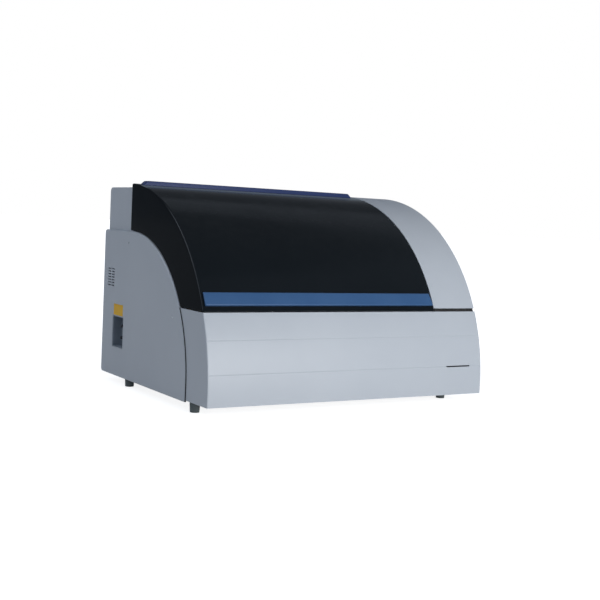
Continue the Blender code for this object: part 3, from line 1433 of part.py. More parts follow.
def make_inlet():
    """The mains inlet: flange outside the panel, body through it, a socket with three blades."""
    inner = REAR_PANEL_OUTER + CLEARANCE
    outer = inner + INLET_FLANGE
    back = REAR_PANEL_INNER - INLET_DEPTH
    floor = back + INLET_BACK
    edge = around_place(INLET_PLACE, INLET_WIDTH, INLET_TALL, INLET_FLANGE_EDGE)
    inlet = flat_shape("power_inlet", [edge], "Y", inner, outer, DARK)
    body = around_place(INLET_PLACE, INLET_WIDTH, INLET_TALL)
    join(inlet, flat_shape("inlet_body", [body], "Y", back, outer - INLET_FLANGE / 2, None))
    socket = around_place(INLET_PLACE, INLET_WIDTH, INLET_TALL, -INLET_SOCKET_WALL)
    cut(inlet, flat_shape("inlet_socket", [socket], "Y", floor, outer + OVERRUN, None))
    root = back + INLET_BACK / 2
    tip = floor + INLET_PIN_LENGTH
    blades = []
    for i, rise in ((-1, 0), (0, 1), (1, 0)):
        place = (INLET_PLACE[0] + i * INLET_PIN_PITCH, INLET_PLACE[1] + rise * INLET_PIN_RISE)
        outline = around_place(place, INLET_PIN_SIDE, INLET_PIN_TALL)
        blades.append(flat_shape("inlet_blade", [outline], "Y", root, tip, None))
    return join(inlet, cluster("inlet_blades", blades))


ROCKER_TALL = SWITCH_TALL / 2 - SWITCH_WALL - ROCKER_END_GAP
ROCKER_PIVOT = (SWITCH_PLACE[0], REAR_PANEL_OUTER - ROCKER_TALL / 2, SWITCH_PLACE[1])
ROCKER_PIN_REACH = SWITCH_WIDTH / 2 - SWITCH_WALL / 2


def rocker_bar(name, radius, reach):
    """A round bar on the rocker's axis."""
    x, y, z = ROCKER_PIVOT
    return cylinder(name, (y, z), radius, x - reach, x + reach, None, "X", PIN_STEPS)


def make_switch():
    """The rocker's frame, let into the rear panel, with the bore for its cross pin."""
    inner = REAR_PANEL_OUTER + CLEARANCE
    outer = inner + SWITCH_FLANGE
    back = REAR_PANEL_INNER - SWITCH_DEPTH
    flange = around_place(SWITCH_PLACE, SWITCH_WIDTH, SWITCH_TALL, SWITCH_WALL)
    frame = flat_shape("switch_frame", [flange], "Y", inner, outer, DARK)
    body = around_place(SWITCH_PLACE, SWITCH_WIDTH, SWITCH_TALL)
    join(frame, flat_shape("switch_body", [body], "Y", back, outer - SWITCH_FLANGE / 2, None))
    well = around_place(SWITCH_PLACE, SWITCH_WIDTH, SWITCH_TALL, -SWITCH_WALL)
    cut(frame, flat_shape("switch_well", [well], "Y", back + SWITCH_WALL, outer + OVERRUN, None))
    bore = ROCKER_PIN_RADIUS + ROCKER_PIN_GAP
    return cut(frame, rocker_bar("rocker_bore", bore, ROCKER_PIN_REACH + CLEARANCE))


def make_rocker():
    """The rocker, dished in the middle and tilted to its off side, with its cross pin."""
    half = SWITCH_WIDTH / 2 - SWITCH_WALL - ROCKER_GAP
    x, y, z = ROCKER_PIVOT
    face = REAR_PANEL_OUTER + CLEARANCE + SWITCH_FLANGE
    throw = math.radians(SWITCH_THROW_DEG)
    end = face - ROCKER_TALL * math.sin(throw) * ROCKER_DISH_SHARE
    root = ROCKER_TALL * ROCKER_ROOT_SHARE
    deep = REAR_PANEL_OUTER - ROCKER_TALL
    outline = [
        (end, z + ROCKER_TALL),
        (face, z),
        (end, z - ROCKER_TALL),
        (deep, z - root),
        (deep, z + root),
    ]
    rocker = flat_shape("power_rocker", [outline], "X", x - half, x + half, BLACK_METAL)
    about = Matrix.Translation(ROCKER_PIVOT)
    rocker.data.transform(about @ Matrix.Rotation(-throw, 4, "X") @ about.inverted())
    return join(rocker, rocker_bar("rocker_pin", ROCKER_PIN_RADIUS, ROCKER_PIN_REACH))


def make_pocket():
    """The recessed moulding in the left panel that holds the fluid ports."""
    outer = -HALF_WIDTH + POCKET_SET_IN
    inner = outer + POCKET_DEPTH
    rim = window(POCKET_LOW, POCKET_HIGH, POCKET_WALL)
    pocket = flat_shape("port_pocket", [rim], "X", outer, inner, DARK)
    hollow = window(POCKET_LOW, POCKET_HIGH)
    cut(pocket, flat_shape("pocket_hollow", [hollow], "X", outer - OVERRUN, inner - POCKET_WALL, None))
    face = inner - POCKET_WALL - CLEARANCE
    middle = (POCKET_LOW[0] + POCKET_HIGH[0]) / 2
    for number, share in enumerate(PORT_HEIGHT_SHARES, 1):
        height = POCKET_LOW[1] + share * POCKET_HEIGHT
        make_port("fluid_port_" + str(number), (middle, height), face)


def make_port(name, place, face):
    """A barbed hose connector that stands out of the pocket's back wall."""
    profile = [(0.0, PORT_LENGTH), (PORT_RADIUS - PORT_BARB_RISE, PORT_LENGTH)]
    pitch = (PORT_LENGTH - PORT_FLANGE) / (PORT_BARBS + 1)
    for i in range(PORT_BARBS):
        low = PORT_LENGTH - (i + 1) * pitch
        profile += [(PORT_RADIUS, low), (PORT_RADIUS - PORT_BARB_RISE, low)]
    profile += [
        (PORT_RADIUS - PORT_BARB_RISE, PORT_FLANGE),
        (PORT_FLANGE_RADIUS, PORT_FLANGE),
        (PORT_FLANGE_RADIUS, 0.0),
        (0.0, 0.0),
    ]
    port = turned(name, profile, (0.0, 0.0), BRIGHT, steps=PORT_STEPS)
    port.location = (face, place[0], place[1])
    port.rotation_euler = (0.0, -math.pi / 2, 0.0)
    return port


def marker_window(edge):
    middle = (POCKET_LOW[0] + POCKET_HIGH[0]) / 2
    low = POCKET_HIGH[1] + POCKET_WALL + MARKER_GAP
    return window((middle - MARKER_WIDTH / 2, low), (middle + MARKER_WIDTH / 2, low + MARKER_HEIGHT), edge)


def make_marker():
    """The blank coloured plate above the pocket, let into the side panel."""
    return flat_shape("marker_plate", [marker_window(0.0)], "X", -HALF_WIDTH, -PANEL_INNER, YELLOW)


def hinge_places():
    left = -COVER_SIDE
    return [left + share * (LID_RIGHT - left) for share in HINGE_SHARES]


def make_hinge_bracket(name, x):
    """The fixed half: a plate on the bulkhead, two knuckles and the pin across them."""
    back = BULKHEAD_FRONT - CLEARANCE
    plate = back - HINGE_PLATE
    top = HINGE_Z - HINGE_BARREL_RADIUS - HINGE_TOP_GAP
    low = top - HINGE_PLATE_HEIGHT
    outline = [(plate, low), (back, low), (back, top + HINGE_TOP_GAP)]
    outline += arc((HINGE_Y, HINGE_Z), HINGE_BARREL_RADIUS, 0, 270, HINGE_STEPS)
    outline.append((plate, top))
    bracket = flat_shape(name, [outline], "X", x - HINGE_WIDTH / 2, x + HINGE_WIDTH / 2, STEEL)
    half = HINGE_KNUCKLE / 2 + HINGE_SIDE_GAP
    slot_low = (x - half, HINGE_Y - HINGE_BARREL_RADIUS - OVERRUN, top - HINGE_TOP_GAP)
    slot_high = (x + half, plate, HINGE_Z + HINGE_BARREL_RADIUS + OVERRUN)
    cut(bracket, box(name + "_slot", slot_low, slot_high, None))
    reach = HINGE_WIDTH / 2 - HINGE_PLATE
    axis = (HINGE_Y, HINGE_Z)
    pin = cylinder(name + "_pin", axis, HINGE_PIN_RADIUS, x - reach, x + reach, None, "X", HINGE_STEPS)
    return join(bracket, pin)


def make_hinge_leaf(name, x):
    """The moving half: a leaf under the lid's skin that reaches back to a barrel round the pin."""
    top_inset = LID_WALL + CLEARANCE
    back = LID_REAR - HINGE_LEAF_END
    front = back - HINGE_LEAF_LENGTH
    depths = [front + (back - front) * i / CORNER_STEPS for i in range(CORNER_STEPS + 1)]
    upper = [(y, sweep_height(y, top_inset)) for y in depths]
    lower = [(y, sweep_height(y, top_inset + HINGE_LEAF)) for y in depths[:-1]]
    barrel = arc((HINGE_Y, HINGE_Z), HINGE_BARREL_RADIUS, 120, -120, HINGE_STEPS)
    outline = upper + barrel + lower[::-1]
    bore = circle((HINGE_Y, HINGE_Z), HINGE_PIN_RADIUS + HINGE_PIN_GAP, HINGE_STEPS)
    return flat_shape(name, [outline, bore], "X", x - HINGE_KNUCKLE / 2, x + HINGE_KNUCKLE / 2, STEEL)


def make_casing():
    make_front_cover()
    make_side_panel("left_side_panel", -1)
    make_side_panel("right_side_panel", 1)
    make_frame("left_frame", -1)
    make_frame("right_frame", 1)
    make_right_cover()
    make_divider_wall()
    make_rear_housing()
    make_bulkhead()
    make_base_tray()
    make_feet()
    make_pocket()
    make_marker()


def make_lid():
    lid = [make_lid_shell(), make_lid_handle(), make_lid_top_strip()]
    for name, x in zip(("left", "right"), hinge_places()):
        make_hinge_bracket("hinge_bracket_" + name, x)
        lid.append(make_hinge_leaf("hinge_leaf_" + name, x))
    joint_axis("lid_hinge", (0.0, HINGE_Y, HINGE_Z), lid)


def make_deck_units():
    make_deck()
    make_cooler_bowl()
    make_bath()
    make_drives()
    make_photometer()
    make_carousel()
    make_rotor()
    make_guide("probe_guide", PROBE_PLACE)
    make_guide("stirrer_guide", STIRRER_PLACE)
    make_cup("probe_cup", PROBE_TIP)
    make_cup("stirrer_cup", STIRRER_TIP)
    make_column("probe_shaft", PROBE_PLACE)
    make_column("stirrer_shaft", STIRRER_PLACE)
    make_wash_post()
    joint_axis("probe_swing", (*PROBE_PLACE, ARM_BOTTOM), [make_probe_arm()])
    joint_axis("stirrer_swing", (*STIRRER_PLACE, ARM_BOTTOM), [make_stirrer_arm()])
    joint_axis("paddle_spin", (*STIRRER_TIP, ARM_BOTTOM), [make_paddle()])
    joint_axis("wash_slide", (ROTOR_X, WASH_Y, WASH_HEAD_LOW), [make_wash_head()])


def make_rear_units():
    make_pump()
    make_supply()
    make_control_board()
    make_rear_panel()
    make_fan()
    make_fan_guard()
    make_inlet()
    make_switch()
    joint_axis("fan_spin", (FAN_PLACE[0], REAR_PANEL_INNER, FAN_PLACE[1]), [make_fan_rotor()])
    joint_axis("rocker_pivot", ROCKER_PIVOT, [make_rocker()])


make_casing()
make_lid()
make_deck_units()
make_rear_units()
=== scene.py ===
# %% [markdown]
# # A benchtop chemistry analyzer
#
# The packed solids hold every size, place and joint of this instrument, and they stay as they are.
# What they lack is the surface: round stretches are faceted, edges are sharp, and each solid has one
# flat colour. This lesson dresses them. The large covers are worked out again as smooth surfaces with
# numpy, the small fittings get fine edges, and every finish is a node material.

import json
import math

import bmesh
import bpy
import numpy as np
from mathutils import Matrix, Vector
from mathutils.geometry import tessellate_polygon


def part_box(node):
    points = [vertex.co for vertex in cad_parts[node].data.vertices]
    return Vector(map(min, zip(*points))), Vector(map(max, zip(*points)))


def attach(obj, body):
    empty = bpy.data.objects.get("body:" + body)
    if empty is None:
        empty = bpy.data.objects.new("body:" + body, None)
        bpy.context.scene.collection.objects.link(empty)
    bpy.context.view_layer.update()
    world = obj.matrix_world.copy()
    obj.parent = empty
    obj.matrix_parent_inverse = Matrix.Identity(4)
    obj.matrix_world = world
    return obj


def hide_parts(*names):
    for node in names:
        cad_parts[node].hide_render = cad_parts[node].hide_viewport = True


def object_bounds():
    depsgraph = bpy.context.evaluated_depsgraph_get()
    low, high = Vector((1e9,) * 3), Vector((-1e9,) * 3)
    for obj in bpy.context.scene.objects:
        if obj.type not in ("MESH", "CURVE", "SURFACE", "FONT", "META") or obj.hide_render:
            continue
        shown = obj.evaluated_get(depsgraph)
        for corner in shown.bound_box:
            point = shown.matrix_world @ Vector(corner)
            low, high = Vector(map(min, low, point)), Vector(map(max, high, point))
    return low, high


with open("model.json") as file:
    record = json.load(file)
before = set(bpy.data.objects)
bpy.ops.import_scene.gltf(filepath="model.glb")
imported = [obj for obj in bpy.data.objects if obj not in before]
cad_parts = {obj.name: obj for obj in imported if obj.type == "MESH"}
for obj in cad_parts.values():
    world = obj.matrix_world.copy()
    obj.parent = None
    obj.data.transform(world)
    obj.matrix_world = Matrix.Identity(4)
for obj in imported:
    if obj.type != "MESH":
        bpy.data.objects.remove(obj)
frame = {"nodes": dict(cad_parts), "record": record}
solid_low, solid_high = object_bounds()
print("solids:", len(frame["nodes"]), "size in mm:", [round(1000 * s, 1) for s in solid_high - solid_low])

# %% [markdown]
# A few sizes are shared by all the covers. The front cover, the lid and the right cover are cut from
# one sweep: a short upright nose at the bottom and then a single arc. The side panels end in a round
# seam, and the covers stop one gap before it. The arcs' radii are written here once, and their
# centres follow from the boxes of the solids.

# %% Sizes that the covers share
SWEEP_RADIUS = 0.5114
NOSE_HEIGHT = 0.0257
SEAM_RADIUS = 0.3678
SEAM_SETBACK = 0.1187
SEAM_GAP = 0.0025
COVER_WALL = 0.0030
LID_WALL = 0.0040
HALF_WIDTH = solid_high.x
FRONT = solid_low.y
REAR = solid_high.y

cover_low, cover_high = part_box("front_cover")
lid_low, lid_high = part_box("lid_shell")
right_low, right_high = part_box("right_cover")
panel_low, panel_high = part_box("left_side_panel")
housing_low, housing_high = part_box("rear_housing")
SWEEP_Y = FRONT + SWEEP_RADIUS
SWEEP_Z = cover_low.z + NOSE_HEIGHT
SEAM_Y = FRONT + SEAM_SETBACK + SEAM_RADIUS
SEAM_Z = panel_high.z - SEAM_RADIUS
WALL_SPARE = 0.0002  # a skin's wall is this much thinner than its solid's, so it can't come out behind it
print("sweep centre", round(SWEEP_Y, 4), round(SWEEP_Z, 4))
print("seam centre", round(SEAM_Y, 4), round(SEAM_Z, 4))

# %% [markdown]
# Every new surface starts as an array of points with rows and columns. The next helper numbers the
# four corners of each cell for the whole grid at once, and the mesh takes points and faces in one
# call, so no Python loop ever visits a single vertex.

# %% From arrays to meshes
def grid_faces(rows, columns, close_columns=False):
    """The corners of cell (i, j) are points (i, j), (i, j+1), (i+1, j+1) and (i+1, j), counted row by row."""
    i = np.arange(rows - 1)[:, None]
    j = np.arange(columns if close_columns else columns - 1)[None, :]
    beside = (j + 1) % columns
    here = i * columns
    after = here + columns
    corners = np.broadcast_arrays(here + j, here + beside, after + beside, after + j)
    return np.stack(corners, -1).reshape(-1, 4).tolist()


def closed_mesh(name, points, faces, merge=2e-6, sharp_deg=34.0):
    """A mesh with merged seams and poles and outward faces, smooth but for its real edges."""
    mesh = bpy.data.meshes.new(name)
    mesh.from_pydata(np.asarray(points, float).reshape(-1, 3).tolist(), [], faces)
    work = bmesh.new()
    work.from_mesh(mesh)
    bmesh.ops.remove_doubles(work, verts=work.verts, dist=merge)
    bmesh.ops.dissolve_degenerate(work, edges=work.edges, dist=merge)
    bmesh.ops.recalc_face_normals(work, faces=work.faces)
    work.to_mesh(mesh)
    work.free()
    mesh.shade_smooth()
    mesh.set_sharp_from_angle(angle=math.radians(sharp_deg))
    return mesh


print("cells between 3 rows of 4 points:", len(grid_faces(3, 4)))

# %% [markdown]
# Sections and outlines are made of arcs. A sharp corner never looks like a real part, so one helper
# turns any outline of straight sides into a rounded one and also returns its outward normals, along
# which the outline can later be moved in or out.

# %% Arcs and rounded corners
def arc(centre, radius, start_deg, end_deg, steps):
    """Points of a circle: centre plus radius times (cosine, sine), for equal steps of the angle."""
    angle = np.radians(np.linspace(start_deg, end_deg, steps + 1))
    return np.array(centre) + radius * np.stack([np.cos(angle), np.sin(angle)], -1)


def unit(vectors):
    """Each vector divided by its length."""
    return vectors / np.maximum(np.linalg.norm(vectors, axis=-1, keepdims=True), 1e-12)


def rounded(corners, radius, steps=6):
    """A closed outline with rounded corners, and its outward normals.

    At each corner the arc's centre lies on the bisector, one radius over the sine of the half angle
    away. The arc is swung from one side's normal to the next one's, which needs no special case.
    """
    corners = np.asarray(corners, float)
    radius = np.broadcast_to(radius, len(corners))[:, None]
    back = unit(np.roll(corners, 1, 0) - corners)
    ahead = unit(np.roll(corners, -1, 0) - corners)
    half = np.arccos(np.clip((back * ahead).sum(-1, keepdims=True), -1, 1)) / 2
    centre = corners + unit(back + ahead) * radius / np.sin(half)
    first = unit(corners + back * radius / np.tan(half) - centre)
    last = unit(corners + ahead * radius / np.tan(half) - centre)
    swing = np.pi - 2 * half
    share = np.linspace(0, 1, steps + 1)
    leaving = np.sin(swing[:, None] * (1 - share)[None, :, None])
    coming = np.sin(swing[:, None] * share[None, :, None])
    normal = (leaving * first[:, None] + coming * last[:, None]) / np.sin(swing)[:, None]
    points = centre[:, None] + radius[:, None] * normal
    return points.reshape(-1, 2), normal.reshape(-1, 2)


def rectangle(low, high):
    """The four corners between a lower and an upper one."""
    return [(low[0], low[1]), (high[0], low[1]), (high[0], high[1]), (low[0], high[1])]


square = rounded(rectangle((0, 0), (1, 1)), 0.1)[0]
print("a rounded square has", len(square), "points, up to", square.max(0).round(3))

# %% [markdown]
# The same few lines put each finished mesh into the scene. A piece rides on the body that it moves
# with, and it stands for the solids that it covers. A fine bevel catches the light as a real edge
# does, and weighted normals keep the broad faces flat beside it.

# %% Put a piece in place
def add_piece(name, mesh, finish, body, nodes=()):
    """An object at the origin that rides on its body and stands for its solids."""
    piece = bpy.data.objects.new(name, mesh)
    bpy.context.scene.collection.objects.link(piece)
    mesh.materials.clear()
    mesh.materials.append(finish)
    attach(piece, body)
    if nodes:
        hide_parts(*nodes)
    return piece


def walled(piece, thickness):
    """Gives an open skin its wall, inwards from the outer face."""
    wall = piece.modifiers.new("wall", "SOLIDIFY")
    wall.thickness = thickness
    wall.offset = -1.0
    wall.use_even_offset = True
    return piece


def fine_edges(piece, width, segments=2, angle_deg=40.0):
    """A narrow bevel on the real edges, with normals that stay flat beside it."""
    edge = piece.modifiers.new("fine_edges", "BEVEL")
    edge.width = width
    edge.segments = segments
    edge.limit_method = "ANGLE"
    edge.angle_limit = math.radians(angle_deg)
    edge.use_clamp_overlap = True
    level = piece.modifiers.new("flat_faces", "WEIGHTED_NORMAL")
    level.keep_sharp = True
    return piece


body_of = {node: body for body, nodes in frame["record"]["behaviour"]["bodies"].items() for node in nodes}
print("bodies:", sorted(set(body_of.values())))

# %% [markdown]
# ## Finishes
#
# Several finishes share the same small effects: a cloudy change of tone, a fine grain, paler worn
# edges, a film of dust on what faces up, and smudges on gloss. On the lid the edge effect is a painted
# highlight instead of wear. Each effect is a node group that is built once. A group puts out only a mask or a
# height, and each material decides what to do with it.

# %% A short way to build nodes
class Nodes:
    """Adds nodes to one tree and joins them, so that a finish reads as a few lines."""

    def __init__(self, tree):
        self.tree = tree

    def add(self, kind, **settings):
        node = self.tree.nodes.new(kind)
        inputs = settings.pop("inputs", {})
        for key, value in settings.items():
            setattr(node, key, value)
        for key, value in inputs.items():
            self.feed(node.inputs[key], value)
        return node

    def feed(self, socket, value):
        if isinstance(value, bpy.types.NodeSocket):
            self.tree.links.new(value, socket)
        else:
            socket.default_value = value

    def math(self, operation, *values, clamp=False):
        node = self.add("ShaderNodeMath", operation=operation, use_clamp=clamp)
        for socket, value in zip(node.inputs, values):
            self.feed(socket, value)
        return node.outputs[0]

    def between(self, value, low, high, low_out=0.0, high_out=1.0):
        node = self.add("ShaderNodeMapRange", interpolation_type="SMOOTHSTEP")
        for socket, given in zip(node.inputs, (value, low, high, low_out, high_out)):
            self.feed(socket, given)
        return node.outputs[0]

    def mix(self, share, first, second):
        node = self.add("ShaderNodeMix", data_type="RGBA")
        for number, given in ((0, share), (6, first), (7, second)):
            self.feed(node.inputs[number], given)
        return node.outputs[2]

    def noise(self, place, scale, detail=3.0, roughness=0.5):
        node = self.add("ShaderNodeTexNoise")
        node.inputs["Detail"].default_value = detail
        node.inputs["Roughness"].default_value = roughness
        self.feed(node.inputs["Vector"], place)
        self.feed(node.inputs["Scale"], scale)
        return node.outputs["Fac"]


def new_group(name, inputs, outputs):
    """A shader node group with named number inputs and named outputs, and its two end nodes."""
    tree = bpy.data.node_groups.new(name, "ShaderNodeTree")
    for label, value in inputs:
        tree.interface.new_socket(label, in_out="INPUT", socket_type="NodeSocketFloat").default_value = value
    for label in outputs:
        tree.interface.new_socket(label, in_out="OUTPUT", socket_type="NodeSocketFloat")
    nodes = Nodes(tree)
    return tree, nodes, nodes.add("NodeGroupInput").outputs, nodes.add("NodeGroupOutput").inputs


print("node helpers:", [word for word in vars(Nodes) if not word.startswith("_")])

# %% [markdown]
# Paint and plastic are never one flat tone. A wide noise gives the slow change, and a fine one, mixed
# with small cells, gives the grain of sprayed paint or of a moulded surface. Smudges are streaks inside
# patches, because a wiping hand leaves marks that run one way.

# %% Cloudy tone, fine grain and smudges
CLOUDS, made, given, out = new_group("clouds", [("Size", 0.12), ("Amount", 1.0)], ["Mask"])
place = made.add("ShaderNodeTexCoord").outputs["Object"]
wide = made.noise(place, made.math("DIVIDE", 1.0, given["Size"]), 4.0, 0.55)
made.feed(out["Mask"], made.math("MULTIPLY", made.between(wide, 0.32, 0.68), given["Amount"]))

GRAIN, made, given, out = new_group("fine_grain", [("Size", 0.0008), ("Pebble", 0.5)], ["Height", "Mask"])
place = made.add("ShaderNodeTexCoord").outputs["Object"]
count = made.math("DIVIDE", 1.0, given["Size"])
soft = made.noise(place, count, 2.0, 0.6)
cells = made.add("ShaderNodeTexVoronoi", feature="SMOOTH_F1", inputs={"Vector": place, "Scale": count})
made.feed(out["Height"], made.mix(given["Pebble"], soft, cells.outputs["Distance"]))
made.feed(out["Mask"], made.between(soft, 0.35, 0.65))

SMUDGES, made, given, out = new_group("smudges", [("Size", 0.09), ("Amount", 1.0)], ["Mask"])
place = made.add("ShaderNodeTexCoord").outputs["Object"]
count = made.math("DIVIDE", 1.0, given["Size"])
patch = made.between(made.noise(place, count, 3.0, 0.5), 0.48, 0.72)
stretched = made.add("ShaderNodeMapping", inputs={"Vector": place, "Scale": (4.0, 4.0, 0.8)}).outputs[0]
streak = made.noise(stretched, count, 5.0)
made.feed(out["Mask"], made.math("MULTIPLY", made.math("MULTIPLY", patch, streak), given["Amount"]))
print("groups:", [tree.name for tree in bpy.data.node_groups])

# %% [markdown]
# Worn edges could be painted by hand, but the instrument has dozens of pieces. The Bevel node rounds
# the normal near an edge, and where that rounded normal leaves the true one there is an edge. Noise
# breaks the line up, because paint never wears evenly. Dust lies where a surface looks up.

# %% Worn edges, also the lid's painted edge highlight, and dust
# The same edge mask lays a painted highlight, a pale line, along the lid's edges; elsewhere it is wear.
EDGES, made, given, out = new_group("worn_and_highlight_edges", [("Width", 0.0012), ("Amount", 0.5)], ["Mask"])
place = made.add("ShaderNodeTexCoord").outputs["Object"]
soft_normal = made.add("ShaderNodeBevel", samples=4, inputs={"Radius": given["Width"]}).outputs[0]
true_normal = made.add("ShaderNodeNewGeometry").outputs["Normal"]
along = made.add("ShaderNodeVectorMath", operation="DOT_PRODUCT", inputs={0: soft_normal, 1: true_normal})
rim = made.between(made.math("SUBTRACT", 1.0, along.outputs["Value"]), 0.02, 0.25)
broken = made.between(made.noise(place, 60.0, 4.0, 0.6), 0.35, 0.65, 0.35, 1.0)
made.feed(out["Mask"], made.math("MULTIPLY", made.math("MULTIPLY", rim, broken), given["Amount"], clamp=True))

DUST, made, given, out = new_group("dust", [("Amount", 0.2)], ["Mask"])
source = made.add("ShaderNodeTexCoord").outputs
upward = made.add("ShaderNodeSeparateXYZ", inputs={"Vector": source["Normal"]}).outputs["Z"]
lying = made.math("MULTIPLY", made.between(upward, 0.55, 0.95), made.noise(source["Object"], 35.0, 5.0, 0.65))
made.feed(out["Mask"], made.math("MULTIPLY", lying, given["Amount"], clamp=True))
print("groups:", [tree.name for tree in bpy.data.node_groups])

# %% [markdown]
# One function builds every opaque finish from those groups. It takes two close tones, the range of
# roughness, the size and depth of the grain, and how far edges wear and dust settles; on the lid the edge
# tone is a painted highlight. Each finish below is then a few numbers that were judged against the real
# surface: satin paint on the covers, zinc on the frame, moulded plastic on the fittings.

# %% The recipe for a finish
def group_node(nodes, tree, **inputs):
    """One placed copy of a group, with its own values."""
    node = nodes.add("ShaderNodeGroup", node_tree=tree)
    for label, value in inputs.items():
        node.inputs[label].default_value = value
    return node.outputs


DUST_TONE = (0.55, 0.53, 0.50, 1.0)


def finish(name, tone, second_tone, rough, grain, depth, cloud=0.12, pebble=0.4, metallic=0.0, ior=1.5,
           wear_and_highlight=0.25, wear_and_highlight_tone=None, edge=0.0012, dust=0.15, smudge=0.0, specular=0.5, see_through=0.0):
    """A material of two close tones, with grain, worn edges, dust and smudges laid over them; on the lid the
    edges carry a painted highlight.
    """
    made = bpy.data.materials.new(name)
    made.use_nodes = True
    nodes = Nodes(made.node_tree)
    shader = made.node_tree.nodes["Principled BSDF"]
    shader.inputs["Metallic"].default_value = metallic
    shader.inputs["IOR"].default_value = ior
    shader.inputs["Specular IOR Level"].default_value = specular
    shader.inputs["Transmission Weight"].default_value = see_through
    clouds = group_node(nodes, CLOUDS, Size=cloud)["Mask"]
    fine = group_node(nodes, GRAIN, Size=grain, Pebble=pebble)
    colour = nodes.mix(clouds, (*tone, 1.0), (*second_tone, 1.0))
    # Paler edges: wear on most finishes, a painted highlight on the lid.
    if wear_and_highlight:
        worn = wear_and_highlight_tone or tuple(min(1.0, 1.25 * part + 0.04) for part in tone)
        colour = nodes.mix(group_node(nodes, EDGES, Width=edge, Amount=wear_and_highlight)["Mask"], colour, (*worn, 1.0))
    rough_now = nodes.between(fine["Mask"], 0.0, 1.0, rough[0], rough[1])
    if dust:
        settled = group_node(nodes, DUST, Amount=dust)["Mask"]
        colour = nodes.mix(settled, colour, DUST_TONE)
        rough_now = nodes.math("ADD", rough_now, nodes.math("MULTIPLY", settled, 0.5), clamp=True)
    if smudge:
        smudges = group_node(nodes, SMUDGES, Amount=smudge)["Mask"]
        rough_now = nodes.math("ADD", rough_now, nodes.math("MULTIPLY", smudges, 0.3), clamp=True)
    nodes.feed(shader.inputs["Base Color"], colour)
    nodes.feed(shader.inputs["Roughness"], rough_now)
    bump = nodes.add("ShaderNodeBump", inputs={"Height": fine["Height"], "Strength": 0.6, "Distance": depth})
    nodes.feed(shader.inputs["Normal"], bump.outputs[0])
    return made


print("the recipe places", len(bpy.data.node_groups), "groups")

# %% [markdown]
# Every colour of the instrument is below. Each line names the material, gives its two tones, its range
# of roughness, and the size and depth of its grain, and then says only what differs from the recipe:
# how cloudy it is, how far its edges are worn, how much dust it holds. The lid's pale edge tone is a painted
# highlight, not wear.

# %% Every finish of the instrument
PAINT = finish("cover_paint", (0.560, 0.596, 0.638), (0.535, 0.572, 0.616), (0.36, 0.44), 0.0011, 0.00006,
               cloud=0.30, wear_and_highlight=0.18, dust=0.12)
# The lid's pale edge tone and strong edge share paint a highlight along its edges, not wear.
SMOKED = finish("smoked_acrylic", (0.0094, 0.0124, 0.0154), (0.0084, 0.0112, 0.0140), (0.10, 0.14),
                0.02, 0.00001, cloud=0.25, ior=1.30, specular=0.25, wear_and_highlight=0.75,
                wear_and_highlight_tone=(0.105, 0.118, 0.122), edge=0.0022, dust=0.02, smudge=0.5)
TRIM = finish("blue_trim", (0.047, 0.122, 0.272), (0.041, 0.112, 0.256), (0.34, 0.42), 0.0009, 0.00004,
              cloud=0.10, wear_and_highlight=0.12, wear_and_highlight_tone=(0.14, 0.23, 0.40), dust=0.05, specular=0.35)
RUBBER = finish("foot_rubber", (0.125, 0.148, 0.150), (0.108, 0.130, 0.132), (0.62, 0.80), 0.0012, 0.00015,
                cloud=0.02, wear_and_highlight=0.10, dust=0.10)
ZINC = finish("frame_steel", (0.50, 0.51, 0.53), (0.47, 0.48, 0.49), (0.38, 0.46), 0.0040, 0.00002,
              cloud=0.05, pebble=0.9, metallic=0.8, wear_and_highlight=0.0, dust=0.06)
DECK_WHITE = finish("deck_white", (0.74, 0.75, 0.75), (0.70, 0.71, 0.72), (0.34, 0.42), 0.0010, 0.00005,
                    cloud=0.15, wear_and_highlight=0.12, dust=0.03)
DARK = finish("dark_plastic", (0.048, 0.058, 0.074), (0.040, 0.050, 0.066), (0.42, 0.55), 0.0007, 0.00006,
              cloud=0.04, wear_and_highlight=0.25, dust=0.08)
BLACK_METAL = finish("black_metal", (0.020, 0.020, 0.023), (0.026, 0.026, 0.030), (0.36, 0.48),
                     0.0006, 0.00004, cloud=0.03, metallic=0.6, wear_and_highlight=0.30,
                     wear_and_highlight_tone=(0.10, 0.10, 0.11), dust=0.04)
BRIGHT = finish("bright_steel", (0.62, 0.63, 0.65), (0.57, 0.58, 0.60), (0.14, 0.24), 0.0020, 0.00001,
                cloud=0.02, metallic=1.0, wear_and_highlight=0.0, dust=0.0, smudge=0.3)
BELT = finish("belt_rubber", (0.014, 0.014, 0.014), (0.022, 0.021, 0.020), (0.66, 0.82), 0.0006, 0.00008,
              cloud=0.02, wear_and_highlight=0.0, dust=0.05)
YELLOW = finish("marker_yellow", (1.00, 0.56, 0.020), (0.98, 0.53, 0.018), (0.34, 0.42), 0.0009, 0.00003,
                cloud=0.03, wear_and_highlight=0.0, dust=0.0, specular=0.15)
POCKET_GREY = finish("pocket_plastic", (0.240, 0.275, 0.320), (0.215, 0.250, 0.290), (0.45, 0.55),
                     0.0008, 0.00005, cloud=0.03, wear_and_highlight=0.15, dust=0.03)
PORT_STEEL = finish("port_steel", (0.075, 0.080, 0.088), (0.062, 0.066, 0.072), (0.40, 0.50), 0.0008, 0.00002,
                    cloud=0.01, metallic=0.7, wear_and_highlight=0.0, dust=0.0, specular=0.2)
BOARD_GREEN = finish("board_green", (0.018, 0.150, 0.062), (0.014, 0.120, 0.050), (0.30, 0.45),
                     0.0015, 0.00005, cloud=0.01, wear_and_highlight=0.0, dust=0.06)
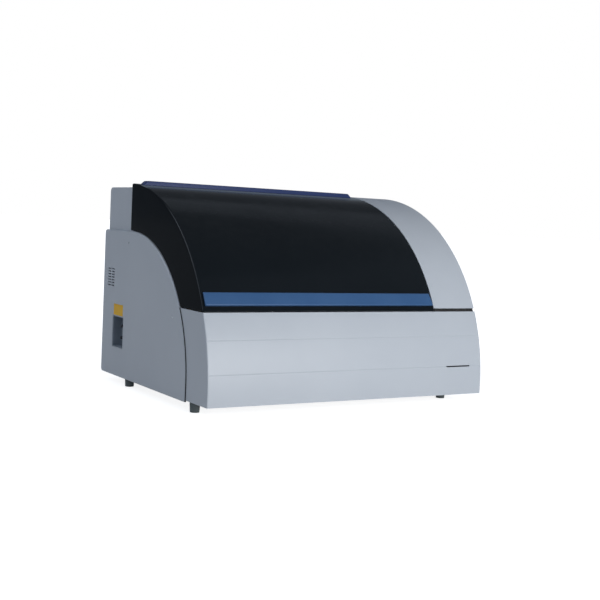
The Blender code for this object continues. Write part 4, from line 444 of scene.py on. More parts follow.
SLOT_FINISH = {
    "cover_paint": PAINT, "smoked_acrylic": SMOKED, "blue_trim": TRIM, "foot_rubber": RUBBER,
    "frame_steel": ZINC, "deck_white": DECK_WHITE, "dark_plastic": DARK, "black_metal": BLACK_METAL,
    "bright_steel": BRIGHT, "belt_rubber": BELT, "marker_yellow": YELLOW, "board_green": BOARD_GREEN,
    "pocket_plastic": POCKET_GREY,
}
print("finishes:", len(SLOT_FINISH))

# %% [markdown]
# The lid needs a little more than the recipe. Its end walls are moulded matt, so gloss fades where the
# surface looks sideways. Just in front of the strip the photograph shows a soft pale sheen across the
# whole width, where one would expect the strip's mirror image. That sheen is a painted reflection: a pale
# tone mixed into the lid's colour, and the gloss gives way to it there.

# %% Matt ends and the painted reflection on the lid
PAINTED_SHEEN_REACH = 0.055
PAINTED_SHEEN_FULL = 0.014
# The pale tone of the painted reflection, mixed into the lid's colour just in front of the strip.
PAINTED_SHEEN_TONE = (0.230, 0.265, 0.290, 1.0)
LID_GLOSS = 0.25
END_GLOSS = 0.03

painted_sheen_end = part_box("lid_top_strip")[0].y
nodes = Nodes(SMOKED.node_tree)
shader = SMOKED.node_tree.nodes["Principled BSDF"]
source = nodes.add("ShaderNodeTexCoord").outputs
facing = nodes.add("ShaderNodeSeparateXYZ", inputs={"Vector": source["Normal"]}).outputs
along = nodes.add("ShaderNodeSeparateXYZ", inputs={"Vector": source["Object"]}).outputs["Y"]
growing = nodes.between(along, painted_sheen_end - PAINTED_SHEEN_REACH, painted_sheen_end - PAINTED_SHEEN_FULL)
on_top = nodes.between(facing["Z"], 0.5, 0.8)
ending = nodes.between(along, painted_sheen_end + 0.004, painted_sheen_end + 0.001)
painted_sheen = nodes.math("MULTIPLY", nodes.math("MULTIPLY", growing, on_top), ending)
gloss = nodes.between(nodes.math("ABSOLUTE", facing["X"]), 0.80, 0.97, LID_GLOSS, END_GLOSS)
gloss_left = nodes.between(painted_sheen, 0.0, 0.6, 1.0, 0.1)
nodes.feed(shader.inputs["Specular IOR Level"], nodes.math("MULTIPLY", gloss, gloss_left))
smoke = shader.inputs["Base Color"].links[0].from_socket
# Mixes the painted reflection's pale tone into the lid's colour.
nodes.feed(shader.inputs["Base Color"], nodes.mix(painted_sheen, smoke, PAINTED_SHEEN_TONE))
print("matt ends and a sheen on", SMOKED.name)

# %% [markdown]
# ## The swept covers
#
# The front cover, the lid and the right cover are one family. Each is a thin skin whose section
# follows the sweep in front and ends on the seam behind. A box with bevelled edges could not follow
# the arc, so each cover is a grid instead: rows run along the section, and along one row the skin
# comes forward on the left wall, turns the corner on a quarter circle, crosses to the right and goes
# back. A wall thickness is added inwards afterwards.

# %% The sweep and the seam
def sweep(angle):
    """A point of the sweep and its outward normal; the angle is zero straight ahead and grows upwards."""
    normal = np.stack([-np.cos(angle), np.sin(angle)], -1)
    return np.array([SWEEP_Y, SWEEP_Z]) + SWEEP_RADIUS * normal, normal


def seam_at(height):
    """Depth of the covers' rear edge: the seam's circle one gap wider, and upright below its centre."""
    radius = SEAM_RADIUS + SEAM_GAP
    rise = np.clip(height - SEAM_Z, 0.0, radius)
    return SEAM_Y - np.sqrt(radius ** 2 - rise ** 2)


low_angle = math.asin((lid_low.z - SWEEP_Z) / SWEEP_RADIUS)
print("the lid starts", round(math.degrees(low_angle), 1), "degrees up the sweep")

# %% [markdown]
# The skin itself needs two things more. Its first and last rows must stay level, or the covers would
# not meet in straight joints. And its columns have to go round the corners, where a smooth quarter
# circle joins the side wall to the front.

# %% A skin between the sweep and the seam
def squared_ends(normal, last_level=True, reach=8):
    """Turns the way into the skin so that the end rows stay level.

    The first row keeps its height, and the last one its height or its depth. Each way goes one unit
    below the surface, because its normal part stays one.
    """
    way = normal.copy()
    fade = np.clip(1 - np.arange(len(normal)) / reach, 0, 1)[:, None] ** 2
    flat = np.stack([1 / np.minimum(normal[:, 0], -0.2), np.zeros(len(normal))], -1)
    plumb = np.stack([np.zeros(len(normal)), 1 / np.maximum(normal[:, 1], 0.2)], -1)
    way += (flat - normal) * fade
    return way + ((flat if last_level else plumb) - normal) * fade[::-1]


def skin(outer, way, inner, left, right, corner, across=28, side=8, turn=6, left_wall=True):
    """Rows along the section, columns from the left wall's rear edge round to the right wall's.

    On a wall the point slides in a straight line from the inner line to where the corner starts, one
    corner radius below the outer line. In the corner it is outer minus way times r(1 - sin a), at
    x = edge + r(1 - cos a). Across the front only x changes.
    """
    rows = len(outer)
    start = outer - corner * way
    share = np.linspace(0, 1, side + 1)[:-1, None, None]
    wall = inner + share * (start - inner)
    angle = np.linspace(0, np.pi / 2, turn + 1)[:, None, None]
    bend = outer - way * corner * (1 - np.sin(angle))
    bend_x = corner * (1 - np.cos(angle[:, 0, 0]))
    middle = np.linspace(left + (corner if left_wall else 0.0), right - corner, across + 1)
    middle = middle[1:-1] if left_wall else middle[:-1]
    flat = np.broadcast_to(outer, (len(middle), rows, 2))
    stretch = [flat, bend[::-1], wall[::-1]]
    places = [middle, right - bend_x[::-1], np.full(side, right)]
    if left_wall:
        stretch = [wall, bend] + stretch
        places = [np.full(side, left), left + bend_x] + places
    depth_height = np.concatenate(stretch).transpose(1, 0, 2)
    x = np.broadcast_to(np.concatenate(places)[None, :, None], (*depth_height.shape[:2], 1))
    return np.concatenate([x, depth_height], -1)


def skin_mesh(name, points, keep=None):
    """The grid as a mesh; keep is an optional mask of its cells, with which an opening is left out."""
    rows, columns = points.shape[:2]
    faces = np.array(grid_faces(rows, columns))
    if keep is not None:
        faces = faces[keep.reshape(-1)]
    return closed_mesh(name, points, faces.tolist())


print("ways at the ends:", squared_ends(sweep(np.array([0.2, 0.7]))[1]).round(2).tolist())

# %% [markdown]
# The front cover has two fine horizontal grooves and a small slot near its lower right. Knives such
# as a Boolean would leave long thin faces in the curved skin. Instead the rows crowd together where a
# groove lies, and each sinks by a raised cosine. The slot's cells are simply left out of the grid.

# %% Front cover
GROOVE_HEIGHTS = (0.078, 0.160)
GROOVE_HALF = 0.0011
GROOVE_DEPTH = 0.0006
SLOT_LENGTH = 0.082
SLOT_HEIGHT = 0.0035
SLOT_FROM_RIGHT = 0.045
SHELF_DEPTH = 0.022
COVER_CORNER = 0.0030

slot_level = cover_low.z + GROOVE_HEIGHTS[0]
slot_span = (HALF_WIDTH - SLOT_FROM_RIGHT - SLOT_LENGTH, HALF_WIDTH - SLOT_FROM_RIGHT)
levels = np.concatenate([
    np.linspace(cover_low.z, cover_high.z, 60),
    *[cover_low.z + height + np.linspace(-GROOVE_HALF, GROOVE_HALF, 9) for height in GROOVE_HEIGHTS],
    slot_level + SLOT_HEIGHT / 2 * np.array([-1.0, 1.0]),
])
levels = np.unique(levels.round(6))
rise = np.maximum(levels - SWEEP_Z, 0.0)
section, section_normal = sweep(np.arcsin(rise / SWEEP_RADIUS))
section[:, 1] = levels
sunk = sum(
    0.5 * GROOVE_DEPTH * (1 + np.cos(np.pi * np.clip((levels - cover_low.z - height) / GROOVE_HALF, -1, 1)))
    for height in GROOVE_HEIGHTS
)
section = section - section_normal * sunk[:, None]
behind = np.stack([seam_at(levels), levels], -1)

rim_y = float(section[-1, 0])
cover_skin = skin(section, squared_ends(section_normal), behind, cover_low.x, cover_high.x, COVER_CORNER,
                  across=40)
edges_x = cover_skin[0, :, 0]
inside = np.abs(edges_x - np.array(slot_span)[:, None]).argmin(1)
cover_skin[:, inside[0], 0] = slot_span[0]
cover_skin[:, inside[1], 0] = slot_span[1]
centre_z = (cover_skin[:-1, :-1, 2] + cover_skin[1:, 1:, 2]) / 2
centre_x = (cover_skin[:-1, :-1, 0] + cover_skin[1:, 1:, 0]) / 2
on_front = cover_skin[:-1, :-1, 1] < FRONT + 0.02
at_level = np.abs(centre_z - slot_level) < SLOT_HEIGHT / 2
in_span = (centre_x > slot_span[0]) & (centre_x < slot_span[1])
in_slot = on_front & at_level & in_span
front_cover = add_piece("front_cover_skin", skin_mesh("front_cover_skin", cover_skin, ~in_slot),
                        PAINT, "chassis", ["front_cover"])
walled(front_cover, COVER_WALL - WALL_SPARE)
fine_edges(front_cover, 0.0006)
print("front cover faces:", len(front_cover.data.polygons))
print("cells left out for the slot:", int(in_slot.sum()))

# %% [markdown]
# The lid is the dark swept shell over the work deck. Its rows start at the lid's lower edge and run
# over to the hinge. The right cover beside it has the same section and starts a little higher, which
# leaves the dark line that shows between it and the front cover.

# %% Lid and right cover
def cover_rows(low, high_depth, count):
    """Rows of the sweep from a height to a depth, the line behind them on the seam, and their normals."""
    first = math.asin((low - SWEEP_Z) / SWEEP_RADIUS)
    last = math.acos((SWEEP_Y - high_depth) / SWEEP_RADIUS)
    outer, normal = sweep(np.linspace(first, last, count))
    seam_top = SEAM_Z + math.sqrt((SEAM_RADIUS + SEAM_GAP) ** 2 - (SEAM_Y - high_depth) ** 2)
    heights = np.linspace(low, seam_top, count)
    return outer, normal, np.stack([seam_at(heights), heights], -1)


ARC_ROWS = 90
LID_CORNER = 0.0045
RIGHT_CORNER = 0.0035

outer, normal, inner = cover_rows(lid_low.z, lid_high.y, ARC_ROWS)
inner[-1, 0] = lid_high.y
lid_skin = skin(outer, squared_ends(normal, False), inner, lid_low.x, lid_high.x, LID_CORNER,
                across=36, side=10, turn=8)
lid = add_piece("lid_skin", skin_mesh("lid_skin", lid_skin), SMOKED, "lid", ["lid_shell"])
walled(lid, LID_WALL - 0.0003)
fine_edges(lid, 0.0007)

outer, normal, inner = cover_rows(right_low.z, right_high.y, ARC_ROWS)
inner[-1, 0] = right_high.y
right_skin = skin(outer, squared_ends(normal, False), inner, right_low.x, right_high.x, RIGHT_CORNER,
                  across=12, side=10, left_wall=False)
right_cover = add_piece("right_cover_skin", skin_mesh("right_cover_skin", right_skin), PAINT, "chassis",
                        ["right_cover"])
walled(right_cover, COVER_WALL - WALL_SPARE)
fine_edges(right_cover, 0.0005)
print("lid faces:", len(lid.data.polygons), "right cover faces:", len(right_cover.data.polygons))

# %% [markdown]
# Between the front cover and the right cover runs a narrow open joint. A dark strip lies a few
# millimetres behind it as painted shade: it darkens the joint and closes the view into the casing.

# %% Painted shade behind the joint
SHADE_STRIP_INSET = 0.00285
SHADE_STRIP_RISE = 0.0080
SHADE_STRIP_WALL = 0.0004

first = math.asin((cover_high.z + 0.0002 - SWEEP_Z) / SWEEP_RADIUS)
last = math.asin((right_low.z + SHADE_STRIP_RISE - SWEEP_Z) / SWEEP_RADIUS)
outer, normal = sweep(np.linspace(first, last, 8))
outer = outer - SHADE_STRIP_INSET * normal
inner = np.stack([seam_at(outer[:, 1]) - SHADE_STRIP_INSET, outer[:, 1]], -1)
shade_strip_points = skin(outer, normal, inner, right_low.x, right_high.x - SHADE_STRIP_INSET, COVER_CORNER,
                   across=6, side=6, left_wall=False)
# A dark strip of belt rubber that stands for the shade in the joint.
shade_strip = add_piece("joint_shade_strip", skin_mesh("joint_shade_strip", shade_strip_points), BELT, "chassis")
walled(shade_strip, SHADE_STRIP_WALL)
print("seal from", round(float(outer[0, 1]), 4), "to", round(float(outer[-1, 1]), 4))

# %% [markdown]
# The blue handle and the darker strip on top are bars: a rounded outline carried along the width, with
# ends that close in on a quarter circle. The handle's right end is slanted, and the strip runs down to
# the lid at both ends, so each section's place on the width depends on its height.

# %% Bars along the width
def tube_faces(rows, columns):
    """The faces between closed rows, and one flat face over each end."""
    first = list(range(columns))[::-1]
    last = list(range((rows - 1) * columns, rows * columns))
    return grid_faces(rows, columns, close_columns=True) + [first, last]


def bar_mesh(name, outline, normals, left, right, end_round, lean, steps=6, across=2):
    """Sections of an outline, the ones near an end e(1 - cos a) from it and moved in by e(1 - sin a).

    The function lean moves the points of a section along the width; side goes from 0 at the left to 1.
    """
    angle = np.linspace(0, np.pi / 2, steps + 1)
    closing = end_round * (1 - np.sin(angle))
    inset = np.concatenate([closing, np.zeros(across - 1), closing[::-1]])
    start = end_round * (1 - np.cos(angle))
    middle = np.linspace(left + end_round, right - end_round, across + 1)[1:-1]
    x = np.concatenate([left + start, middle, right - start[::-1]])
    section = outline[None] - normals[None] * inset[:, None, None]
    side = np.clip((x - left) / (right - left), 0, 1)
    place = x[:, None] + lean(section, side[:, None])
    points = np.concatenate([place[..., None], section], -1)
    return closed_mesh(name, points, tube_faces(*points.shape[:2]))


print("faces of a short tube:", len(tube_faces(3, 4)))

# %% [markdown]
# Both bars sit a hair above the lid, so that no two surfaces share a plane. Their lower corners are
# nearly sharp and their outer ones softly rounded, as on an extruded trim.

# %% Lid handle and top strip
HANDLE_SLANT = 0.005
HANDLE_END = 0.0022
STRIP_RAMP = 0.013
STRIP_END = 0.0010
STAND = 0.0080
LIFT = 0.0003
handle_low, handle_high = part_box("lid_handle")
strip_low, strip_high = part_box("lid_top_strip")

angles = np.arcsin((np.array([handle_low.z, handle_high.z]) - SWEEP_Z) / SWEEP_RADIUS)
on_lid, out_of_lid = sweep(angles)
handle_corners = np.stack([on_lid[0] + LIFT * out_of_lid[0], on_lid[0] + STAND * out_of_lid[0],
                           on_lid[1] + STAND * out_of_lid[1], on_lid[1] + LIFT * out_of_lid[1]])
handle_corners[:, 1] = np.clip(handle_corners[:, 1], handle_low.z, handle_high.z)
outline, normals = rounded(handle_corners, [0.0008, 0.0028, 0.0028, 0.0008], 8)


def handle_lean(section, side):
    """The right end leans in by the slant, in proportion to the height on the handle."""
    share = (section[..., 1] - handle_low.z) / (handle_high.z - handle_low.z)
    return -HANDLE_SLANT * np.clip(share, 0, 1) * side


mesh = bar_mesh("lid_handle_bar", outline, normals, handle_low.x, handle_high.x, HANDLE_END, handle_lean)
handle = add_piece("lid_handle_bar", mesh, TRIM, "lid", ["lid_handle"])

front_y, back_y = strip_low.y, strip_high.y
crown = [sweep(np.array([math.acos((SWEEP_Y - y) / SWEEP_RADIUS)])) for y in (front_y, back_y)]
strip_corners = np.array([(front_y, crown[0][0][0, 1] + LIFT), (back_y, crown[1][0][0, 1] + LIFT),
                          (back_y, strip_high.z), (front_y, strip_high.z)])
outline, normals = rounded(strip_corners, [0.0006, 0.0006, 0.0025, 0.0025], 8)


def strip_lean(section, side):
    """Both ends lean in by the ramp, in proportion to the height on the strip."""
    share = (section[..., 1] - strip_corners[0, 1]) / (strip_high.z - strip_corners[0, 1])
    return STRIP_RAMP * np.clip(share, 0, 1) * (1 - 2 * side)


STRIP = finish("strip_trim", (0.040, 0.062, 0.170), (0.036, 0.056, 0.156), (0.30, 0.38), 0.0009, 0.00004,
               cloud=0.10, wear_and_highlight=0.20, wear_and_highlight_tone=(0.08, 0.11, 0.22), dust=0.0, specular=0.12)
mesh = bar_mesh("lid_top_bar", outline, normals, strip_low.x, strip_high.x, STRIP_END, strip_lean)
strip = add_piece("lid_top_bar", mesh, STRIP, "lid", ["lid_top_strip"])
print("handle faces:", len(handle.data.polygons), "strip faces:", len(strip.data.polygons))

# %% [markdown]
# Under the lid's edge the front cover ends in a narrow shelf. It is a flat bar behind the cover's rim,
# and it shows as soon as the lid is open.

# %% Shelf behind the front cover
SHELF_GAP = 0.0001

shelf_top = cover_high.z - SHELF_GAP
shelf_low = shelf_top - COVER_WALL
shelf_y = (rim_y + COVER_WALL - SHELF_GAP, rim_y + SHELF_DEPTH)
shelf_corners = rectangle((shelf_y[0], shelf_low), (shelf_y[1], shelf_top))
outline, normals = rounded(shelf_corners, [0.0002, 0.0008, 0.0008, 0.0002], 5)


def no_lean(section, side):
    """A straight bar: nothing moves along the width."""
    return 0.0 * section[..., 1]


side = cover_high.x - COVER_WALL
mesh = bar_mesh("front_cover_shelf", outline, normals, -side, side, 0.0002, no_lean)
add_piece("front_cover_shelf", mesh, PAINT, "chassis")
print("shelf depth in mm:", round(1000 * (shelf_y[1] - shelf_y[0]), 1))

# %% [markdown]
# ## Side panels
#
# A side panel is a thick plate with a round front edge, rows of short vents, and on the left the
# recessed pocket. Its rim is an outline carried over a quarter circle. The flat face is what lies
# between that outline and the holes, and Blender's own polygon filling finds the triangles for it.

# %% A plate with holes
AXES = {"X": (2, 0, 1), "Y": (0, 2, 1), "Z": (0, 1, 2)}


def outward(loop):
    """Normals of a closed outline: the chord from the point before to the point after, turned outwards."""
    chord = np.roll(loop, -1, 0) - np.roll(loop, 1, 0)
    normal = unit(np.stack([chord[:, 1], -chord[:, 0]], -1))
    area = (loop[:, 0] * np.roll(loop[:, 1], -1) - loop[:, 1] * np.roll(loop[:, 0], -1)).sum()
    return normal if area > 0 else -normal


def pierced_plate(name, outline, holes, inner, outer, edge, hole_edge=0.0004, axis="X", steps=6):
    """Each outline goes straight from the inner plane, then turns in by e(1 - cos a) in a quarter circle."""
    sign = 1.0 if outer > inner else -1.0
    points, faces, first_rings, last_rings, count = [], [], [], [], 0
    for loop, away, width in [(outline, 1.0, edge)] + [(hole, -1.0, hole_edge) for hole in holes]:
        angle = np.linspace(0, np.pi / 2, steps + 1)
        inset = np.concatenate([[0.0], width * (1 - np.cos(angle))])
        level = np.concatenate([[inner], outer - sign * width * (1 - np.sin(angle))])
        ring = loop[None] - away * outward(loop)[None] * inset[:, None, None]
        ring = np.concatenate([ring, np.broadcast_to(level[:, None, None], (*ring.shape[:2], 1))], -1)
        rows, columns = ring.shape[:2]
        faces += (np.array(grid_faces(rows, columns, close_columns=True)) + count).tolist()
        first_rings.append((count, ring[0]))
        last_rings.append((count + (rows - 1) * columns, ring[-1]))
        points.append(ring.reshape(-1, 3))
        count += rows * columns
    for rings in (first_rings, last_rings):
        flat = [[Vector((*p[:2], 0.0)) for p in ring.tolist()] for start, ring in rings]
        number = np.concatenate([start + np.arange(len(ring)) for start, ring in rings])
        faces += number[np.array(tessellate_polygon(flat))].tolist()
    return closed_mesh(name, np.concatenate(points)[:, AXES[axis]], faces, sharp_deg=40.0)


def window(low, high, radius=0.0005, steps=4):
    """The outline of a rectangular opening with rounded corners."""
    return rounded(rectangle(low, high), radius, steps)[0]


print("plates lie across", sorted(AXES))

# %% [markdown]
# The panel's outline is the seam's arc in front, a long top, and small round corners behind. The vents
# are slots with round ends in two columns. The left panel also has openings for the pocket and for the
# blank yellow plate above it, and both have two holes for their screws.

# %% Left and right side panels
PANEL_EDGE = 0.0040
PANEL_CORNER = 0.010
VENT_ROWS = 7
VENT_COLUMNS = 2
VENT_PITCH = 0.0078
VENT_SIZE = (0.0210, 0.0035)
VENT_COLUMN_GAP = 0.0055
VENT_FROM_REAR = 0.0336
VENT_LOW = 0.274
POCKET_CUT_GAP = 0.0004
MARKER_CUT_GAP = 0.0003
SCREW_RADIUS = 0.0034
SCREW_CUT_GAP = 0.0002
SCREW_PLACES = ((0.1630, 0.4000), (-0.1325, 0.2260))

pocket_low, pocket_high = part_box("port_pocket")
marker_low, marker_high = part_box("marker_plate")
seam_arc = arc((SEAM_Y, SEAM_Z), SEAM_RADIUS, 180, 90, 72)
top_corner = arc((REAR - PANEL_CORNER, panel_high.z - PANEL_CORNER), PANEL_CORNER, 90, 0, 10)
low_corner = arc((REAR - PANEL_CORNER, panel_low.z + PANEL_CORNER), PANEL_CORNER, 0, -90, 10)
front_corner = arc((SEAM_Y - SEAM_RADIUS + PANEL_EDGE, panel_low.z + PANEL_EDGE), PANEL_EDGE, 270, 180, 6)
panel_outline = np.concatenate([seam_arc, top_corner, low_corner, front_corner])

vents = []
for column in range(VENT_COLUMNS):
    back = REAR - VENT_FROM_REAR - column * (VENT_SIZE[0] + VENT_COLUMN_GAP)
    for row in range(VENT_ROWS):
        low = VENT_LOW + row * VENT_PITCH
        vents.append(window((back - VENT_SIZE[0], low), (back, low + VENT_SIZE[1]), 0.45 * VENT_SIZE[1], 6))


def cut_around(low, high, gap, radius):
    """The opening in a side panel that leaves a gap all round a box."""
    return window((low.y - gap, low.z - gap), (high.y + gap, high.z + gap), radius)


pocket_hole = cut_around(pocket_low, pocket_high, POCKET_CUT_GAP, 0.002)
marker_hole = cut_around(marker_low, marker_high, MARKER_CUT_GAP, 0.0008)
screw_holes = [arc(place, SCREW_RADIUS + SCREW_CUT_GAP, 0, 352.5, 47) for place in SCREW_PLACES]
panel_inner = -panel_high.x
left_holes = vents + screw_holes + [pocket_hole, marker_hole]
for name, side, holes in (("left_side_panel", -1, left_holes), ("right_side_panel", 1, vents + screw_holes)):
    inner_x, outer_x = side * panel_inner, side * HALF_WIDTH
    mesh = pierced_plate(name + "_skin", panel_outline, holes, inner_x, outer_x, PANEL_EDGE)
    panel = add_piece(name + "_skin", mesh, PAINT, "chassis", [name])
    flat = panel.modifiers.new("flat_faces", "WEIGHTED_NORMAL")
    flat.keep_sharp = True
    print(panel.name, "faces:", len(mesh.polygons))

# %% [markdown]
# The upper rear box is folded sheet with a round top rear edge. It is a skin like the covers, whose
# section runs back along the top, over the round edge and down. The top stops short in front, where
# the lid's hinges need room, and only the side walls reach forward, so those cells are left out.

# %% Rear housing
HOUSING_ROUND = 0.012
HOUSING_EDGE = 0.0030
HOUSING_WALL = 0.0030
notch_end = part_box("rear_bulkhead")[0].y

back_round = arc((REAR - HOUSING_ROUND, housing_high.z - HOUSING_ROUND), HOUSING_ROUND, 90, 0, 14)
back_normal = arc((0.0, 0.0), 1.0, 90, 0, 14)
top_y = np.concatenate([[housing_low.y, notch_end], np.linspace(notch_end, REAR - HOUSING_ROUND, 8)[1:-1]])
top_run = np.stack([top_y, np.full(len(top_y), housing_high.z)], -1)
rear_z = np.linspace(housing_high.z - HOUSING_ROUND, housing_low.z, 7)[1:]
rear_run = np.stack([np.full(len(rear_z), REAR), rear_z], -1)
section = np.concatenate([top_run, back_round, rear_run])
top_normal = np.tile([0.0, 1.0], (len(top_run), 1))
rear_normal = np.tile([1.0, 0.0], (len(rear_run), 1))
section_normal = np.concatenate([top_normal, back_normal, rear_normal])
foot = np.stack([np.linspace(housing_low.y, REAR, len(section)), np.full(len(section), housing_low.z)], -1)
foot[:2, 0] = top_y[:2]
foot[1:, 0] = np.linspace(notch_end, REAR - HOUSING_EDGE, len(section) - 1)
housing_skin = skin(section, section_normal, foot, housing_low.x, housing_high.x, HOUSING_EDGE,
                    across=20, side=6, turn=6)
middle_x = (housing_skin[:-1, :-1, 0] + housing_skin[1:, 1:, 0]) / 2
on_top = np.abs(middle_x) < housing_high.x - HOUSING_WALL
keep = np.ones(middle_x.shape, bool)
keep[0] = ~on_top[0]
housing = add_piece("rear_housing_skin", skin_mesh("rear_housing_skin", housing_skin, keep), PAINT, "chassis",
                    ["rear_housing"])
walled(housing, HOUSING_WALL - WALL_SPARE)
fine_edges(housing, 0.0005)
print("rear housing faces:", len(housing.data.polygons))

# %% [markdown]
# ## Turned pieces
#
# Feet, screws, tubes, columns and knobs are all turned: a profile of radius and height is carried
# round an axis. The profile's corners are rounded first, because no real part has a perfectly sharp
# rim, and the poles are merged so that the mesh is closed.

# %% Turning a profile
def rounded_path(points, radius, steps=4):
    """An open outline with its inner corners rounded: a curve between the two tangent points of each corner.

    The curve is (1-t)^2 a + 2t(1-t) b + t^2 c, which touches both sides as an arc does.
    """
    points = np.asarray(points, float)
    corner = points[1:-1]
    back, ahead = points[:-2] - corner, points[2:] - corner
    shorter = np.minimum(np.linalg.norm(back, axis=1), np.linalg.norm(ahead, axis=1))
    cut = np.minimum(radius, 0.45 * shorter)[:, None]
    first, last = corner + unit(back) * cut, corner + unit(ahead) * cut
    t = np.linspace(0, 1, steps + 1)[None, :, None]
    bends = (1 - t) ** 2 * first[:, None] + 2 * t * (1 - t) * corner[:, None] + t ** 2 * last[:, None]
    return np.concatenate([points[:1], bends.reshape(-1, 2), points[-1:]])


def turned_points(profile, centre, steps=48):
    """Each profile point (r, h) becomes a ring: centre + (r cos a, r sin a), at height h."""
    angle = np.linspace(0, 2 * np.pi, steps, endpoint=False)
    around = np.stack([np.cos(angle), np.sin(angle)], -1)
    level = profile[:, 1][:, None, None]
    ring = np.asarray(centre)[None, None] + profile[:, 0][:, None, None] * around[None]
    return np.concatenate([ring, np.broadcast_to(level, (*ring.shape[:2], 1))], -1)


def ring_mesh(name, points, sharp_deg=34.0):
    """A mesh from rings of points, each ring closed on itself."""
    return closed_mesh(name, points, grid_faces(*points.shape[:2], close_columns=True), sharp_deg=sharp_deg)


def turned_mesh(name, corners, centre=(0.0, 0.0), radius=0.0006, steps=48):
    """The profile through the corners (r, h), rounded and turned round the centre."""
    return ring_mesh(name, turned_points(rounded_path(corners, radius), centre, steps))


def add_turned(name, corners, centre, radius, steps, coat, body, nodes=()):
    """A turned piece, made and put in its place."""
    return add_piece(name, turned_mesh(name, corners, centre, radius, steps), coat, body, nodes)


def turned_to(mesh, axis, place):
    """Lays a mesh that was turned about Z along another axis, at its place, and bakes that into the mesh."""
    tilt = {"X": Matrix.Rotation(math.pi / 2, 4, "Y"), "-X": Matrix.Rotation(-math.pi / 2, 4, "Y"),
            "Y": Matrix.Rotation(-math.pi / 2, 4, "X"), "Z": Matrix.Identity(4)}[axis]
    mesh.transform(Matrix.Translation(place) @ tilt)
    return mesh


print("one right angle becomes", len(rounded_path([(0, 0), (1, 0), (1, 1)], 0.1)), "points")

# %% [markdown]
# A thin dark strip lies in the gap between each side panel and the covers, a little behind the
# surface, as painted shade that darkens the seam. It follows the panel's round edge from the base up to the
# lid's lower edge.

# %% Painted shade beside the side panels
SEAM_SHADE_DEPTH = (0.0014, 0.0030)
SEAM_SHADE_REACH = (-0.0008, 0.0023)
SEAM_SHADE_END_GAP = 0.001

last = math.asin((cover_high.z - SEAM_SHADE_END_GAP - SEAM_Z) / SEAM_RADIUS)
turn = np.concatenate([[0.0], np.linspace(0, last, 48)])[:, None]
on_arc = SEAM_Z + SEAM_RADIUS * np.sin(turn[1:, 0])
base = np.concatenate([[panel_low.z + SEAM_SHADE_END_GAP], on_arc])[:, None]
corners = rectangle((SEAM_SHADE_REACH[0], SEAM_SHADE_DEPTH[0]), (SEAM_SHADE_REACH[1], SEAM_SHADE_DEPTH[1]))
section = rounded(corners, 0.0004, 3)[0]
for side, label in ((-1, "left"), (1, "right")):
    y = SEAM_Y - (SEAM_RADIUS + section[:, 0]) * np.cos(turn)
    z = base + section[:, 0] * np.sin(turn)
    x = np.broadcast_to(side * (HALF_WIDTH - section[:, 1]), y.shape)
    # A dark strip that stands for the shade in the seam.
    mesh = closed_mesh("gasket", np.stack([x, y, z], -1).reshape(-1, 3), tube_faces(*y.shape))
    add_piece(f"gasket_{label}", mesh, BELT, "chassis")
print("gaskets: 2, from", round(float(base.min()), 4), "to", round(float(base.max()), 4))

# %% [markdown]
# Each foot is a rubber puck that widens upwards, with a moulded ring on its sole. A turned profile gives
# all of that at once, where a plain cylinder would look like a coin.

# %% Feet
for node in ("foot_front_left", "foot_front_right", "foot_rear_left", "foot_rear_right"):
    low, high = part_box(node)
    middle = (low + high) / 2
    radius = (high.x - low.x) / 2
    corners = [(0, low.z), (radius - 0.0040, low.z), (radius - 0.0035, low.z + 0.0006),
               (radius - 0.0016, low.z), (radius - 0.0014, low.z + 0.003), (radius, high.z - 0.002),
               (radius, high.z), (0, high.z)]
    add_turned(node + "_pad", corners, middle[:2], 0.0010, 48, RUBBER, "chassis", [node])
print("feet: 4")

# %% [markdown]
# Two small screws hold each side panel. They sit in round dimples, so that nothing stands proud of
# the panel. Each head is a low dome, and a smooth cross-shaped mask sinks its recess.

# %% Panel screws
def screw_points(radius, rise, rings=14, steps=48):
    """Dome height h(r) = rise (1 - (r/R)^2)^0.5, less a cross of 0.8 rise.

    The cross is where |x| or |y| is under 0.15 R, out to 0.62 R, with sloped walls.
    """
    share = np.linspace(0, 1, rings)[:, None]
    angle = np.linspace(0, 2 * np.pi, steps, endpoint=False)[None]
    x, y = radius * share * np.cos(angle), radius * share * np.sin(angle)
    arm = np.minimum(np.abs(x), np.abs(y)) / radius
    cross = np.clip((0.15 - arm) / 0.06, 0, 1) * np.clip((0.62 - share) / 0.08, 0, 1)
    height = rise * np.sqrt(np.maximum(1 - share ** 2, 0)) + 0 * angle - 0.8 * rise * cross
    dome = np.stack(np.broadcast_arrays(x, y, height), -1)
    base = dome[-1:] * np.array([1.0, 1.0, 0.0])
    return np.concatenate([dome, base - [0, 0, 0.0001], base * [0, 0, 0] - [0, 0, 0.0001]])


def add_screw(kind, label, radius, rise, axis, place):
    """One screw head, laid along its axis at its place on the casing."""
    mesh = turned_to(ring_mesh(kind, screw_points(radius, rise), 60.0), axis, place)
    return add_piece(f"{kind}_{label}", mesh, BRIGHT, "chassis")


SCREW_RISE = 0.0010
SCREW_SETBACK = 0.0014
for side, axis, label in ((-1, "-X", "left"), (1, "X", "right")):
    for number, (y, z) in enumerate(SCREW_PLACES, 1):
        place = (side * (HALF_WIDTH - SCREW_SETBACK), y, z)
        add_screw("panel_screw", f"{label}_{number}", SCREW_RADIUS, SCREW_RISE, axis, place)
print("panel screws:", 2 * len(SCREW_PLACES))

# %% [markdown]
# ## The work deck
#
# Under the lid sit a carousel for samples and reagents, a reaction rotor in its warm bath, two lifting
# arms and a wash station. Most of it is turned, and the rest stands upright: a plan outline carried
# through a list of heights, each with its own inset. Both kinds are repeated round a circle by one
# rotation of the whole array.

